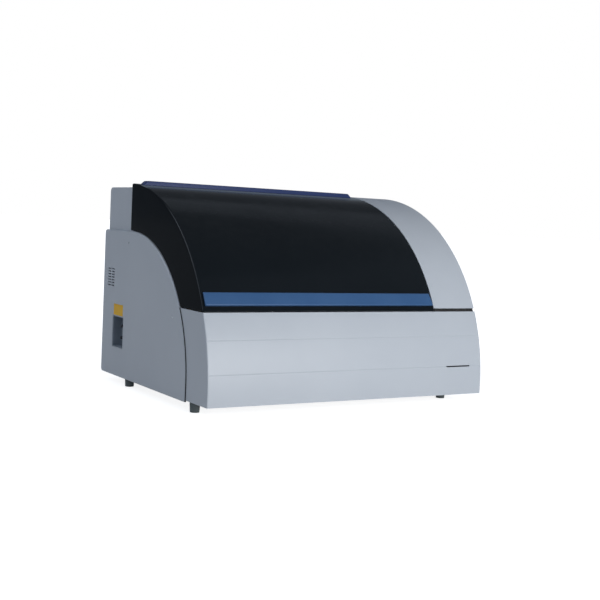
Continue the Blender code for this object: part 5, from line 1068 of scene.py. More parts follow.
# %% Upright pieces and circles of copies
def upright(outline, normals, stations):
    """Rings of the outline at each (height, inset), the inset taken along the normals, with flat ends."""
    level = np.array([height for height, inset in stations])[:, None, None]
    inset = np.array([inset for height, inset in stations])[:, None, None]
    ring = outline[None] - normals[None] * inset
    points = np.concatenate([ring, np.broadcast_to(level, (*ring.shape[:2], 1))], -1)
    return points.reshape(-1, 3), tube_faces(*points.shape[:2])


def quarter(low, high, width, start=0.0, steps=5):
    """Stations of a side whose top edge turns in over a quarter circle: (1 - sin a) down, (1 - cos a) in."""
    angle = np.linspace(0, np.pi / 2, steps + 1)
    bend = [(high - width * (1 - math.sin(a)), start + width * (1 - math.cos(a))) for a in angle]
    return [(low, start)] + bend


def copied_faces(faces, size, count):
    """The faces of count copies of a shape that has size points."""
    every = []
    for copy in range(count):
        every += [[corner + copy * size for corner in face] for face in faces]
    return every


def round_a_circle(name, shape, circle, count, start=0.0, sharp_deg=34.0):
    """Copies at angles 2 pi (i + start) / count: each point is moved out by the radius, then turned."""
    points, faces = shape
    centre, radius = circle
    angle = 2 * np.pi * (np.arange(count) + start) / count
    moved = points + np.array([radius, 0.0, 0.0])
    x = np.cos(angle)[:, None] * moved[:, 0] - np.sin(angle)[:, None] * moved[:, 1] + centre[0]
    y = np.sin(angle)[:, None] * moved[:, 0] + np.cos(angle)[:, None] * moved[:, 1] + centre[1]
    z = np.broadcast_to(moved[:, 2], x.shape)
    every = copied_faces(faces, len(points), count)
    return closed_mesh(name, np.stack([x, y, z], -1), every, sharp_deg=sharp_deg)


def turned_grid(corners, radius=0.0006, steps=32, shift=0.0):
    """A turned shape as points and faces, about an axis that stands a shift along X from the Z axis."""
    points = turned_points(rounded_path(corners, radius), (0.0, 0.0), steps).reshape(-1, 3)
    rings = len(points) // steps
    return points + np.array([shift, 0.0, 0.0]), grid_faces(rings, steps, close_columns=True)


def middle_and_radius(node):
    """The middle of a solid's box in plan, and half its width."""
    low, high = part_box(node)
    return ((low.x + high.x) / 2, (low.y + high.y) / 2), (high.x - low.x) / 2


deck_low, deck_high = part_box("deck_plate")
DECK_TOP = deck_high.z
DECK_BOTTOM = deck_low.z
CAROUSEL, CAROUSEL_RADIUS = middle_and_radius("sample_carousel")
ROTOR, ROTOR_RADIUS = middle_and_radius("reaction_rotor")
print("deck top", round(DECK_TOP, 4))
print("carousel radius", round(CAROUSEL_RADIUS, 4), "rotor radius", round(ROTOR_RADIUS, 4))

# %% [markdown]
# What the trays hold needs finishes of its own. Clear plastic lets most light through, serum is a warm
# amber, bottles are milky, and their labels are blank matt paper. The guides are satin nickel, which is
# a metal with a little more blur than polished steel.

# %% Finishes for what the trays hold
CLEAR = finish("clear_plastic", (0.86, 0.90, 0.92), (0.82, 0.87, 0.90), (0.06, 0.12), 0.010, 0.00001,
               cloud=0.05, wear_and_highlight=0.0, dust=0.0, see_through=0.85)
SERUM = finish("sample_amber", (0.72, 0.42, 0.075), (0.66, 0.36, 0.055), (0.10, 0.16), 0.010, 0.00001,
               cloud=0.10, wear_and_highlight=0.0, dust=0.0)
BOTTLE = finish("bottle_plastic", (0.62, 0.67, 0.70), (0.58, 0.63, 0.66), (0.30, 0.38), 0.0012, 0.00003,
                cloud=0.02, wear_and_highlight=0.10, dust=0.0)
LABEL = finish("blank_label", (0.80, 0.80, 0.78), (0.77, 0.77, 0.75), (0.50, 0.60), 0.0006, 0.00003,
               cloud=0.01, wear_and_highlight=0.20, dust=0.0)
COLLAR = finish("bottle_collar", (0.050, 0.150, 0.330), (0.044, 0.136, 0.310), (0.35, 0.45), 0.0008, 0.00003,
                cloud=0.01, wear_and_highlight=0.20, dust=0.0)
NICKEL = finish("satin_nickel", (0.56, 0.57, 0.58), (0.52, 0.53, 0.54), (0.26, 0.36), 0.0016, 0.00002,
                cloud=0.02, metallic=1.0, wear_and_highlight=0.0, dust=0.02)
print("finishes in all:", len(bpy.data.materials))

# %% [markdown]
# The deck is one sheet with six round openings: two for the wells, two for the columns and two for the
# wash cups. A cross-head screw sits near each corner and at the middle of the long edges.

# %% Deck plate with its round openings
WELL_GROW = 0.0063
GUIDE_RADIUS = 0.0143
CUP_RADIUS = 0.0108
SHEET_EDGE = 0.0003
SCREW_SINK = 0.00005

probe_place, _ = middle_and_radius("probe_guide")
stirrer_place, _ = middle_and_radius("stirrer_guide")
probe_tip, _ = middle_and_radius("probe_cup")
stirrer_tip, _ = middle_and_radius("stirrer_cup")
openings = [(CAROUSEL, CAROUSEL_RADIUS + WELL_GROW), (ROTOR, ROTOR_RADIUS + WELL_GROW),
            (probe_place, GUIDE_RADIUS), (stirrer_place, GUIDE_RADIUS),
            (probe_tip, CUP_RADIUS), (stirrer_tip, CUP_RADIUS)]
holes = [arc(place, radius, 0, 356.25, 95) for place, radius in openings]
deck_outline = window(deck_low, deck_high, 0.0012, 6)
mesh = pierced_plate("deck_sheet", deck_outline, holes, DECK_BOTTOM, DECK_TOP, SHEET_EDGE, SHEET_EDGE, "Z", 3)
add_piece("deck_sheet", mesh, DECK_WHITE, "chassis", ["deck_plate"])
DECK_SCREWS = [(x, y) for x in (-0.405, -0.042, 0.285) for y in (deck_low.y + 0.020, deck_high.y - 0.012)]
for number, place in enumerate(DECK_SCREWS, 1):
    add_screw("deck_screw", number, 0.0032, 0.0012, "Z", (*place, DECK_TOP + SCREW_SINK))
print("deck openings:", len(openings), "deck screws:", len(DECK_SCREWS))

# %% [markdown]
# The carousel turns in a cooled bowl and the rotor in a warm ring-shaped bath. Both are thin walls whose
# rims lie on the deck, so each is one closed profile: down the outside, under the floor and up inside.

# %% Wells
LIP = 0.006
LIP_THICK = 0.002
LIP_LIFT = 0.0003
WELL_GAP = 0.004
WALL = 0.002
SHAFT_BORE = 0.0083
BOSS_RADIUS = 0.018
CHANNEL = 0.024


def well_rim(radius, floor):
    """The rim on the deck and the outer wall, with a fine bead on the rim's inner edge."""
    under = DECK_TOP + LIP_LIFT
    top = under + LIP_THICK
    bead = [(radius - WALL, top - 0.0004), (radius - WALL + 0.0008, top)]
    return bead + [(radius + LIP, top), (radius + LIP, under), (radius, under), (radius, floor)]


bowl_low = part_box("cooler_bowl")[0].z
bowl_radius = CAROUSEL_RADIUS + WELL_GAP + WALL
bowl_floor = bowl_low + 0.008
corners = well_rim(bowl_radius, bowl_floor) + [
    (BOSS_RADIUS, bowl_floor), (BOSS_RADIUS, bowl_low), (SHAFT_BORE, bowl_low),
    (SHAFT_BORE, bowl_floor + WALL), (bowl_radius - WALL, bowl_floor + WALL)]
add_turned("cooler_bowl_turned", corners + corners[:1], CAROUSEL, 0.0008, 128, DECK_WHITE,
           "chassis", ["cooler_bowl"])

bath_radius = ROTOR_RADIUS + WELL_GAP + WALL
bath_floor = DECK_BOTTOM - 0.030
hub = ROTOR_RADIUS - CHANNEL - WELL_GAP
corners = well_rim(bath_radius, bath_floor) + [
    (hub - WALL, bath_floor), (hub - WALL, DECK_BOTTOM - WALL), (BOSS_RADIUS, DECK_BOTTOM - WALL),
    (BOSS_RADIUS, bowl_low), (SHAFT_BORE, bowl_low), (SHAFT_BORE, DECK_BOTTOM), (hub, DECK_BOTTOM),
    (hub, bath_floor + WALL), (bath_radius - WALL, bath_floor + WALL)]
add_turned("bath_ring_turned", corners + corners[:1], ROTOR, 0.0006, 112, BLACK_METAL,
           "chassis", ["bath_ring"])
print("wells: bowl floor at", round(bowl_floor, 4), "bath floor at", round(bath_floor, 4))

# %% [markdown]
# The carousel carries two rings: open sample tubes outside and reagent bottles inside. Each tube is a
# thin clear wall with a round bottom and a level of serum in it. The disc has a fluted knob, whose
# radius follows a cosine, and its shaft and belt pulley hang below.

# %% Discs with a fluted knob
FLUTES = 18
FLUTE_DEPTH = 0.0009
KNOB_RADIUS = 0.020
PULLEY_THICK = 0.008
CAROUSEL_THICK = 0.004
KNOB_RISE = 0.026


def knob_mesh(name, centre, low, rise, edge=0.003, steps=144):
    """r(a, h) = profile radius - depth (1 - cos(n a)) / 2 on the side, fading to nothing on the flat top."""
    radius, high = KNOB_RADIUS, low + rise
    crown = [(0.0, high), (radius - 0.0045, high - 0.0002), (radius, high - 0.0015), (radius, low)]
    profile = rounded_path(crown, edge, 6)
    angle = np.linspace(0, 2 * np.pi, steps, endpoint=False)
    fade = np.clip((profile[:, 0] / radius - 0.72) / 0.2, 0, 1)[:, None]
    around = profile[:, :1] - fade * FLUTE_DEPTH * (1 - np.cos(FLUTES * angle)[None]) / 2
    height = np.broadcast_to(profile[:, 1:], around.shape)
    side = np.stack([centre[0] + around * np.cos(angle), centre[1] + around * np.sin(angle), height], -1)
    closing = side[-1:] * 1.0
    closing[..., :2] = centre
    return ring_mesh(name, np.concatenate([side, closing]), 50.0)


def disc_corners(radius, low, thick, pulley, drive_low):
    """The disc with a raised ring near its rim, and the shaft and the grooved pulley under it."""
    top, drive_high, groove = low + thick, drive_low + PULLEY_THICK, pulley - 0.0004
    plate = [(0.0, top + 0.0005), (0.030, top + 0.0005), (0.032, top - 0.0003),
             (radius - 0.0045, top - 0.0003), (radius - 0.0035, top), (radius - 0.002, top),
             (radius, top - 0.002), (radius, low)]
    shaft = [(0.008, low), (0.008, drive_high)]
    belt_groove = [(pulley, drive_high), (pulley, drive_high - 0.0007), (groove, drive_high - 0.0010),
                   (groove, drive_low + 0.0010), (pulley, drive_low + 0.0007), (pulley, drive_low)]
    return plate + shaft + belt_groove + [(0.0, drive_low)]


carousel_low = DECK_TOP - LIP_THICK
corners = disc_corners(CAROUSEL_RADIUS, carousel_low, CAROUSEL_THICK, 0.050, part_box("sample_carousel")[0].z)
add_turned("carousel_disc", corners, CAROUSEL, 0.0008, 128, DECK_WHITE, "carousel",
           ["sample_carousel"])
mesh = knob_mesh("carousel_knob", CAROUSEL, carousel_low + CAROUSEL_THICK, KNOB_RISE)
add_piece("carousel_knob", mesh, DARK, "carousel")
print("flutes on the knob:", FLUTES)

# %% [markdown]
# A sample tube is a thin clear wall with a round bottom, and its serum stands well below the rim. One
# tube is worked out as a profile and copied round the ring, so all of them share one mesh.

# %% Sample tubes
TUBES = 24
TUBE_RADIUS = 0.0063
TUBE_TOP = 0.030
TUBE_DROP = 0.045
SERUM_LEVEL = 0.014
TUBE_WALL = 0.0008

tube_ring = CAROUSEL_RADIUS - 0.013
tube_top = DECK_TOP + TUBE_TOP
tube_low = carousel_low - TUBE_DROP
inner_radius = TUBE_RADIUS - TUBE_WALL
corners = [(0.0, tube_low), (0.6 * TUBE_RADIUS, tube_low + 0.0008), (TUBE_RADIUS, tube_low + 0.005),
           (TUBE_RADIUS, tube_top - 0.0016), (TUBE_RADIUS + 0.0002, tube_top), (inner_radius, tube_top),
           (inner_radius, tube_low + 0.0055), (0.6 * inner_radius, tube_low + 0.0016),
           (0.0, tube_low + 0.0010)]
mesh = round_a_circle("sample_tubes", turned_grid(corners, 0.0004, 24), (CAROUSEL, tube_ring), TUBES)
add_piece("sample_tubes", mesh, CLEAR, "carousel")
fill = inner_radius - 0.0001
serum_top = tube_top - SERUM_LEVEL
corners = [(0.0, tube_low + 0.0012), (0.6 * fill, tube_low + 0.0018), (fill, tube_low + 0.0057),
           (fill, serum_top + 0.0004), (0.8 * fill, serum_top), (0.0, serum_top)]
mesh = round_a_circle("sample_fill", turned_grid(corners, 0.0003, 24), (CAROUSEL, tube_ring), TUBES)
add_piece("sample_fill", mesh, SERUM, "carousel")
print("tubes:", TUBES)

# %% [markdown]
# The bottles are narrow boxes of milky plastic with rounded edges. Each has a blue collar round its
# open neck, a dark liquid inside and a blank label on its shoulder. Every one of these parts is again a
# single shape that is carried round one ring, and the ring is turned by half a step.

# %% Reagent bottles
BOTTLES = 16
BOTTLE_SIZE = (0.048, 0.021)
BOTTLE_RISE = 0.020
BOTTLE_DROP = 0.038
BOTTLE_START = 0.5
NECK_RADIUS = 0.0082
NECK_BORE = 0.0060
NECK_RISE = 0.0055
NECK_SHIFT = 0.012

bottle_circle = (CAROUSEL, tube_ring - 0.0065 - 0.005 - BOTTLE_SIZE[0] / 2)
bottle_top = carousel_low + BOTTLE_RISE
shoulder = bottle_top - NECK_RISE
bottle_low = carousel_low - BOTTLE_DROP
half = np.array(BOTTLE_SIZE) / 2 - 0.0004
outline, normals = rounded(rectangle(-half, half), 0.0045, 5)
stations = [(bottle_low, 0.002), (bottle_low + 0.002, 0.0)] + quarter(shoulder - 0.008, shoulder, 0.0030)
bottle = upright(outline, normals, stations)
corners = [(NECK_BORE, shoulder - 0.004), (NECK_RADIUS, shoulder - 0.004), (NECK_RADIUS, bottle_top - 0.0006),
           (NECK_RADIUS - 0.0006, bottle_top), (NECK_BORE, bottle_top), (NECK_BORE, shoulder - 0.004)]
collar = turned_grid(corners, 0.0003, 28, NECK_SHIFT)
fill = NECK_BORE - 0.0002
corners = [(0.0, shoulder - 0.0002), (fill, shoulder - 0.0002), (fill, shoulder + 0.0012),
           (0.0, shoulder + 0.0010)]
liquid = turned_grid(corners, 0.0002, 24, NECK_SHIFT)
outline, normals = rounded(rectangle((-0.018, -0.0065), (-0.002, 0.0065)), 0.0015, 4)
stations = [(shoulder - 0.0003, 0.0), (shoulder + 0.0002, 0.0), (shoulder + 0.0003, 0.0001)]
tag = upright(outline, normals, stations)
bottle_parts = (("reagent_bottles", bottle, BOTTLE, 30.0), ("bottle_collars", collar, COLLAR, 34.0),
                ("bottle_fill", liquid, DARK, 34.0), ("bottle_tags", tag, LABEL, 34.0))
for name, shape, coat, sharp_deg in bottle_parts:
    mesh = round_a_circle(name, shape, bottle_circle, BOTTLES, BOTTLE_START, sharp_deg)
    add_piece(name, mesh, coat, "carousel")
print("bottles:", BOTTLES)

# %% [markdown]
# The rotor is a dark disc with a ring of small square cuvettes that hang into the bath. A cuvette's wall
# is a list of stations that runs up the outside, over the rim and down inside.

# %% Reaction rotor and its cuvettes
CUVETTES = 32
CUVETTE_SIZE = (0.0095, 0.0075)
CUVETTE_WALL = 0.0009
ROTOR_THICK = 0.005
ROTOR_KNOB_RISE = 0.014

rotor_low = DECK_TOP + 0.006
corners = disc_corners(ROTOR_RADIUS, rotor_low, ROTOR_THICK, 0.040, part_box("reaction_rotor")[0].z)
add_turned("rotor_disc", corners, ROTOR, 0.0008, 128, DARK, "rotor", ["reaction_rotor"])
mesh = knob_mesh("rotor_knob", ROTOR, rotor_low + ROTOR_THICK, ROTOR_KNOB_RISE)
add_piece("rotor_knob", mesh, DECK_WHITE, "rotor")

half = np.array(CUVETTE_SIZE) / 2 - 0.0002
outline, normals = rounded(rectangle(-half, half), 0.0010, 3)
low, top = rotor_low - 0.022, rotor_low + 0.009
stations = [(low, 0.0004), (low + 0.0004, 0.0), (top - 0.0003, 0.0), (top, 0.0002),
            (top, CUVETTE_WALL - 0.0002), (top - 0.0003, CUVETTE_WALL), (low + 0.001, CUVETTE_WALL)]
cup = upright(outline, normals, stations)
mesh = round_a_circle("cuvettes", cup, (ROTOR, ROTOR_RADIUS - 0.010), CUVETTES)
add_piece("cuvettes", mesh, CLEAR, "rotor")
print("cuvettes:", CUVETTES)

# %% [markdown]
# The two arms lift and swing on polished columns, which slide in nickel sleeves on the deck. A thin
# groove marks the collar under the arm. Each arm has a small cup beside the trays, in which its tip is
# washed. All of these are turned profiles.

# %% Columns, guides and cups
SHAFT_RADIUS = 0.009
SHAFT_GROOVE = 0.0084
SLEEVE_RADIUS = 0.014
SLEEVE_BORE = 0.0094
FLANGE_RADIUS = 0.019
CUP_BORE = 0.0085

arm_bottom = DECK_TOP + 0.110
on_deck = DECK_TOP + LIP_LIFT
for label, place in (("probe", probe_place), ("stirrer", stirrer_place)):
    low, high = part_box(label + "_shaft")
    corners = [(0.0, high.z), (0.005, high.z), (0.005, arm_bottom - 0.0003),
               (SHAFT_RADIUS, arm_bottom - 0.0003), (SHAFT_RADIUS, arm_bottom - 0.003),
               (SHAFT_GROOVE, arm_bottom - 0.0034), (SHAFT_GROOVE, arm_bottom - 0.0044),
               (SHAFT_RADIUS, arm_bottom - 0.0048), (SHAFT_RADIUS, low.z), (0.0, low.z)]
    add_turned(label + "_column", corners, place, 0.0004, 64, BRIGHT, body_of[label + "_shaft"],
               [label + "_shaft"])
    low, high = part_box(label + "_guide")
    corners = [(SLEEVE_BORE, high.z), (SLEEVE_RADIUS, high.z), (SLEEVE_RADIUS, high.z - 0.0030),
               (0.0134, high.z - 0.0036), (0.0134, on_deck + 0.0026), (SLEEVE_RADIUS, on_deck + 0.002),
               (FLANGE_RADIUS, on_deck + 0.002), (FLANGE_RADIUS, on_deck), (SLEEVE_RADIUS, on_deck),
               (SLEEVE_RADIUS, low.z), (SLEEVE_BORE, low.z), (SLEEVE_BORE, high.z)]
    add_turned(label + "_sleeve", corners, place, 0.0005, 64, NICKEL, "chassis",
               [label + "_guide"])
for label, place in (("probe", probe_tip), ("stirrer", stirrer_tip)):
    low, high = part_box(label + "_cup")
    corners = [(CUP_BORE, high.z), (0.0125, high.z), (0.0125, on_deck), (0.0105, on_deck), (0.0105, low.z),
               (0.0, low.z), (0.0, low.z + 0.002), (CUP_BORE, low.z + 0.002), (CUP_BORE, high.z)]
    add_turned(label + "_wash_cup", corners, place, 0.0008, 56, DARK, "chassis",
               [label + "_cup"])
print("column collars just under", round(arm_bottom, 4))

# %% [markdown]
# Each arm is a stadium that narrows to its tip, with a broadly rounded top and a fine parting line. Its
# normals come from the outline itself, so the rounding stays even at both ends. The probe's needle is a
# thin turned tube with a wider root.

# %% Arms and needle
ARM_HEIGHT = 0.022
ARM_TOP_ROUND = 0.0055
ARM_ROOT_RADIUS = 0.011
ARM_TIP_RADIUS = 0.007
PARTING_LEVEL = 0.007
NEEDLE_RADIUS = 0.0008
NEEDLE_ROOT = 0.0026


def arm_mesh(name, place, tip):
    """Stadium outline from two arcs; stations run up the side, past a parting line and over the top."""
    plan = np.concatenate([arc(place, ARM_ROOT_RADIUS, 0, 180, 24), arc(tip, ARM_TIP_RADIUS, 180, 360, 18)])
    line = arm_bottom + PARTING_LEVEL
    stations = [(arm_bottom, 0.0008), (arm_bottom + 0.0008, 0.0),
                (line - 0.0003, 0.0), (line, 0.0003), (line + 0.0003, 0.0)]
    stations += quarter(line + 0.002, arm_bottom + ARM_HEIGHT, ARM_TOP_ROUND, steps=8)
    return closed_mesh(name, *upright(plan, outward(plan), stations), sharp_deg=30.0)


mesh = arm_mesh("probe_arm_cover", probe_place, probe_tip)
add_piece("probe_arm_cover", mesh, DECK_WHITE, "probe", ["probe_arm"])
needle_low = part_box("probe_arm")[0].z
corners = [(0.0, needle_low), (0.35 * NEEDLE_RADIUS, needle_low), (NEEDLE_RADIUS, needle_low + 0.004),
           (NEEDLE_RADIUS, arm_bottom - 0.006), (NEEDLE_ROOT, arm_bottom - 0.005),
           (NEEDLE_ROOT, arm_bottom + 0.0004), (0.0, arm_bottom + 0.0004)]
add_turned("probe_needle", corners, probe_tip, 0.0003, 24, BRIGHT, "probe")
mesh = arm_mesh("stirrer_arm_cover", stirrer_place, stirrer_tip)
add_piece("stirrer_arm_cover", mesh, DECK_WHITE, "stirrer", ["stirrer_arm"])
print("arm underside at", round(arm_bottom, 4))

# %% [markdown]
# Behind the rotor a head with five nozzles rises and sinks on its column, to empty and rinse cuvettes.
# The column is turned, with a groove near its top and a round foot.

# %% Wash station
wash_place, _ = middle_and_radius("wash_post")
post_low, post_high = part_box("wash_post")
corners = [(0.0, post_high.z), (SHAFT_RADIUS, post_high.z), (SHAFT_RADIUS, post_high.z - 0.004),
           (SHAFT_GROOVE, post_high.z - 0.0045), (SHAFT_GROOVE, post_high.z - 0.0055),
           (SHAFT_RADIUS, post_high.z - 0.006), (SHAFT_RADIUS, post_low.z + 0.002),
           (FLANGE_RADIUS, post_low.z + 0.002), (FLANGE_RADIUS, post_low.z), (0.0, post_low.z)]
add_turned("wash_column", corners, wash_place, 0.0006, 64, NICKEL, "chassis", ["wash_post"])
print("wash column from", round(post_low.z, 4), "to", round(post_high.z, 4))

# %% [markdown]
# The head is a thick plate in the shape of a T, with a bore for the column. Its five nozzles are copies
# of one turned profile, set side by side over the cuvettes.

# %% Wash head and its nozzles
NOZZLES = 5
NOZZLE_PITCH = 0.008
NOZZLE_RADIUS = 0.0011
NOZZLE_ROOT = 0.0024
HEAD_THICK = 0.016
HEAD_HALF = 0.020
HEAD_REACH = 0.009
NECK_HALF = 0.018
HEAD_BORE = 0.0093

head_low, head_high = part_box("wash_head")
head_bottom = head_high.z - HEAD_THICK
ring_y = head_low.y + HEAD_REACH
x = ROTOR[0]
plan = [(x - HEAD_HALF, head_low.y), (x + HEAD_HALF, head_low.y), (x + HEAD_HALF, ring_y + HEAD_REACH),
        (x + NECK_HALF, wash_place[1]), (x + NECK_HALF, head_high.y), (x - NECK_HALF, head_high.y),
        (x - NECK_HALF, wash_place[1]), (x - HEAD_HALF, ring_y + HEAD_REACH)]
outline = rounded(plan, [0.003, 0.003, 0.002, 0.002, 0.010, 0.010, 0.002, 0.002], 8)[0]
bore = arc(wash_place, HEAD_BORE, 0, 356, 90)
mesh = pierced_plate("wash_head_block", outline, [bore], head_bottom, head_high.z, 0.0022, 0.0004, "Z")
add_piece("wash_head_block", mesh, DECK_WHITE, "wash", ["wash_head"])
corners = [(0.0, head_low.z), (NOZZLE_RADIUS - 0.0004, head_low.z), (NOZZLE_RADIUS, head_low.z + 0.0016),
           (NOZZLE_RADIUS, head_bottom - 0.005), (NOZZLE_ROOT, head_bottom - 0.004),
           (NOZZLE_ROOT, head_bottom + 0.0006), (0.0, head_bottom + 0.0006)]
one, faces = turned_grid(corners, 0.0003, 24)
across = ROTOR[0] + (np.arange(NOZZLES) - (NOZZLES - 1) / 2) * NOZZLE_PITCH
places = np.stack([across, np.full(NOZZLES, ring_y), np.zeros(NOZZLES)], -1)
points = (one[None] + places[:, None]).reshape(-1, 3)
mesh = closed_mesh("wash_nozzles", points, copied_faces(faces, len(one), NOZZLES))
add_piece("wash_nozzles", mesh, BRIGHT, "wash")
print("nozzles:", NOZZLES)

# %% [markdown]
# ## The back
#
# The rear panel is one more plate with holes: a round one for the fan and two small ones for the mains
# inlet and its switch. Six screws hold the sheet, and four more hold the fan behind it.

# %% Rear panel and its screws
FAN_PLACE = (-0.220, 0.257)
FAN_OPENING = 0.037
FAN_SCREW_REACH = 0.0355
INLET_PLACE = (0.250, 0.112)
SWITCH_PLACE = (0.2175, 0.112)


def opening(place, half_width, half_height):
    """A window around its middle."""
    half = np.array([half_width, half_height])
    return window(place - half, place + half)


sheet_low, sheet_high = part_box("rear_panel")
outline = window((sheet_low.x, sheet_low.z), (sheet_high.x, sheet_high.z), 0.0015)
holes = [arc(FAN_PLACE, FAN_OPENING, 0, 357.5, 143), opening(INLET_PLACE, 0.014, 0.010),
         opening(SWITCH_PLACE, 0.0065, 0.0095)]
mesh = pierced_plate("rear_sheet", outline, holes, sheet_low.y, sheet_high.y, SHEET_EDGE, SHEET_EDGE, "Y", 3)
add_piece("rear_sheet", mesh, ZINC, "chassis", ["rear_panel"])
sides = (-FAN_SCREW_REACH, FAN_SCREW_REACH)
places = [(x, z) for x in (-0.405, 0.0, 0.405) for z in (0.045, 0.408)]
places += [(FAN_PLACE[0] + x, FAN_PLACE[1] + z) for x in sides for z in sides]
for number, (x, z) in enumerate(places, 1):
    add_screw("rear_screw", number, 0.0034, 0.0013, "Y", (x, sheet_high.y + SCREW_SINK, z))
print("rear screws:", len(places))

# %% [markdown]
# The guard keeps fingers out of the fan. Four rings and two crossed bars of round wire stand just behind
# the opening, and each ring is a circle carried round a circle.

# %% Fan guard
WIRE = 0.00095
GUARD_RADII = (0.0390, 0.0370, 0.0257, 0.0123)
GUARD_REACH = 0.0385


def wire_ring(name, radius, wire, around=112, section=14):
    """Points ((R + r cos b) cos a, (R + r cos b) sin a, r sin b) for the ring's radius R and the wire's r."""
    a = np.linspace(0, 2 * np.pi, around, endpoint=False)[:, None]
    b = np.linspace(0, 2 * np.pi, section, endpoint=False)[None]
    reach = radius + wire * np.cos(b)
    points = np.stack(np.broadcast_arrays(reach * np.cos(a), reach * np.sin(a), wire * np.sin(b)), -1)
    faces = grid_faces(around, section, close_columns=True)
    last = (around - 1) * section + np.arange(section)
    faces += [[int(last[i]), int(last[(i + 1) % section]), (i + 1) % section, i] for i in range(section)]
    return closed_mesh(name, points, faces)


guard_low, guard_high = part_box("fan_guard")
guard_place = (FAN_PLACE[0], (guard_low.y + guard_high.y) / 2, FAN_PLACE[1])
for number, radius in enumerate(GUARD_RADII, 1):
    mesh = turned_to(wire_ring("guard_ring", radius, WIRE), "Y", guard_place)
    covered = ["fan_guard"] if number == 1 else ()
    add_piece(f"guard_ring_{number}", mesh, BRIGHT, "chassis", covered)
corners = [(0.0, -GUARD_REACH), (WIRE, -GUARD_REACH), (WIRE, GUARD_REACH), (0.0, GUARD_REACH)]
for number, turn in enumerate((0.0, math.pi / 2), 1):
    mesh = turned_mesh("guard_bar", corners, (0.0, 0.0), 0.0004, 20)
    mesh.transform(Matrix.Translation(guard_place) @ Matrix.Rotation(turn, 4, "Y"))
    add_piece(f"guard_bar_{number}", mesh, BRIGHT, "chassis")
print("guard rings:", len(GUARD_RADII))

# %% [markdown]
# Two hose connectors point out of the pocket on the left side. Each is turned, with a flange, three barbs
# that would hold a hose, and a bore, and lies along the width.

# %% Hose connectors in the pocket
BARBS = 3
BARB_RADIUS = 0.0045
HOSE_BORE = 0.0022
PORT_FLANGE = 0.007

for number in (1, 2):
    low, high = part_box(f"fluid_port_{number}")
    length = high.x - low.x
    pitch = (length - 0.002) / (BARBS + 1)
    corners = [(0.0, length - 0.004), (HOSE_BORE, length - 0.004), (HOSE_BORE, length),
               (BARB_RADIUS - 0.0010, length)]
    for barb in range(BARBS):
        level = length - (barb + 1) * pitch
        corners += [(BARB_RADIUS, level + 0.0003), (BARB_RADIUS, level), (BARB_RADIUS - 0.0008, level)]
    corners += [(BARB_RADIUS - 0.0008, 0.002), (PORT_FLANGE, 0.002), (PORT_FLANGE, 0.0), (0.0, 0.0)]
    mesh = turned_mesh("hose_port", corners, (0.0, 0.0), 0.0003, 48)
    turned_to(mesh, "-X", (high.x, (low.y + high.y) / 2, (low.z + high.z) / 2))
    add_piece(f"hose_port_{number}", mesh, PORT_STEEL, "chassis", [f"fluid_port_{number}"])
print("hose connectors: 2")

# %% [markdown]
# ## Everything that keeps its solid's shape
#
# Brackets, motors and boards are simple shapes already. A copy of each solid is merged, its flat
# faces are joined again, and fine edges are added. The packed solid itself is never touched, the copy
# only stands for it.

# %% A refined copy of a solid
FLAT_DEG = 0.5


def refined(node, coat, width, angle_deg=34.0):
    """A merged copy of a packed solid, its flat faces joined, with fine edges of the given width."""
    mesh = frame["nodes"][node].data.copy()
    work = bmesh.new()
    work.from_mesh(mesh)
    bmesh.ops.remove_doubles(work, verts=work.verts, dist=2e-6)
    bmesh.ops.dissolve_limit(work, angle_limit=math.radians(FLAT_DEG), verts=work.verts, edges=work.edges)
    work.to_mesh(mesh)
    work.free()
    mesh.shade_smooth()
    mesh.set_sharp_from_angle(angle=math.radians(angle_deg))
    piece = add_piece(node + "_body", mesh, coat, body_of[node], [node])
    if width:
        fine_edges(piece, width, angle_deg=angle_deg)
    return piece


SIMPLE = {
    "left_frame": ("cover_paint", 0.0004), "right_frame": ("cover_paint", 0.0004),
    "base_tray": ("frame_steel", 0.0004), "divider_wall": ("frame_steel", 0.0004),
    "rear_bulkhead": ("frame_steel", 0.0004),
    "hinge_bracket_left": ("frame_steel", 0.0004), "hinge_bracket_right": ("frame_steel", 0.0004),
    "hinge_leaf_left": ("frame_steel", 0.0004), "hinge_leaf_right": ("frame_steel", 0.0004),
    "power_supply": ("frame_steel", 0.0010), "photometer_housing": ("black_metal", 0.0008),
    "carousel_motor": ("black_metal", 0.0008), "rotor_motor": ("black_metal", 0.0008),
    "carousel_pinion": ("bright_steel", 0.0003), "rotor_pinion": ("bright_steel", 0.0003),
    "carousel_belt": ("belt_rubber", 0.0), "rotor_belt": ("belt_rubber", 0.0),
    "control_board": ("board_green", 0.0003), "syringe_barrel": ("deck_white", 0.0010),
    "syringe_plunger": ("bright_steel", 0.0006), "stirrer_paddle": ("bright_steel", 0.0),
    "fan_frame": ("black_metal", 0.0006), "fan_rotor": ("dark_plastic", 0.0003),
    "power_inlet": ("dark_plastic", 0.0006), "switch_frame": ("dark_plastic", 0.0005),
    "power_rocker": ("black_metal", 0.0005), "port_pocket": ("pocket_plastic", 0.0006),
    "marker_plate": ("marker_yellow", 0.0006),
}
for node, (slot, width) in SIMPLE.items():
    refined(node, SLOT_FINISH[slot], width)
bare = sorted(name for name, solid in frame["nodes"].items() if not solid.hide_render)
print("refined copies:", len(SIMPLE), "solids still bare:", bare)

# %% [markdown]
# ## The set
#
# The instrument stands on a pale floor in soft studio light. To the camera, and to gloss, the set
# reads as white: the floor's own light grows with the distance from the instrument, and the world is
# white for those rays alone. The light that falls on the instrument stays plain.

# %% The floor
FLOOR_REACH = 60.0
GLOSS_SHARE = 0.30
FLOOR_GLOW = (0.80, 1.0)
GLOW_GROWS = (0.5, 1.8)

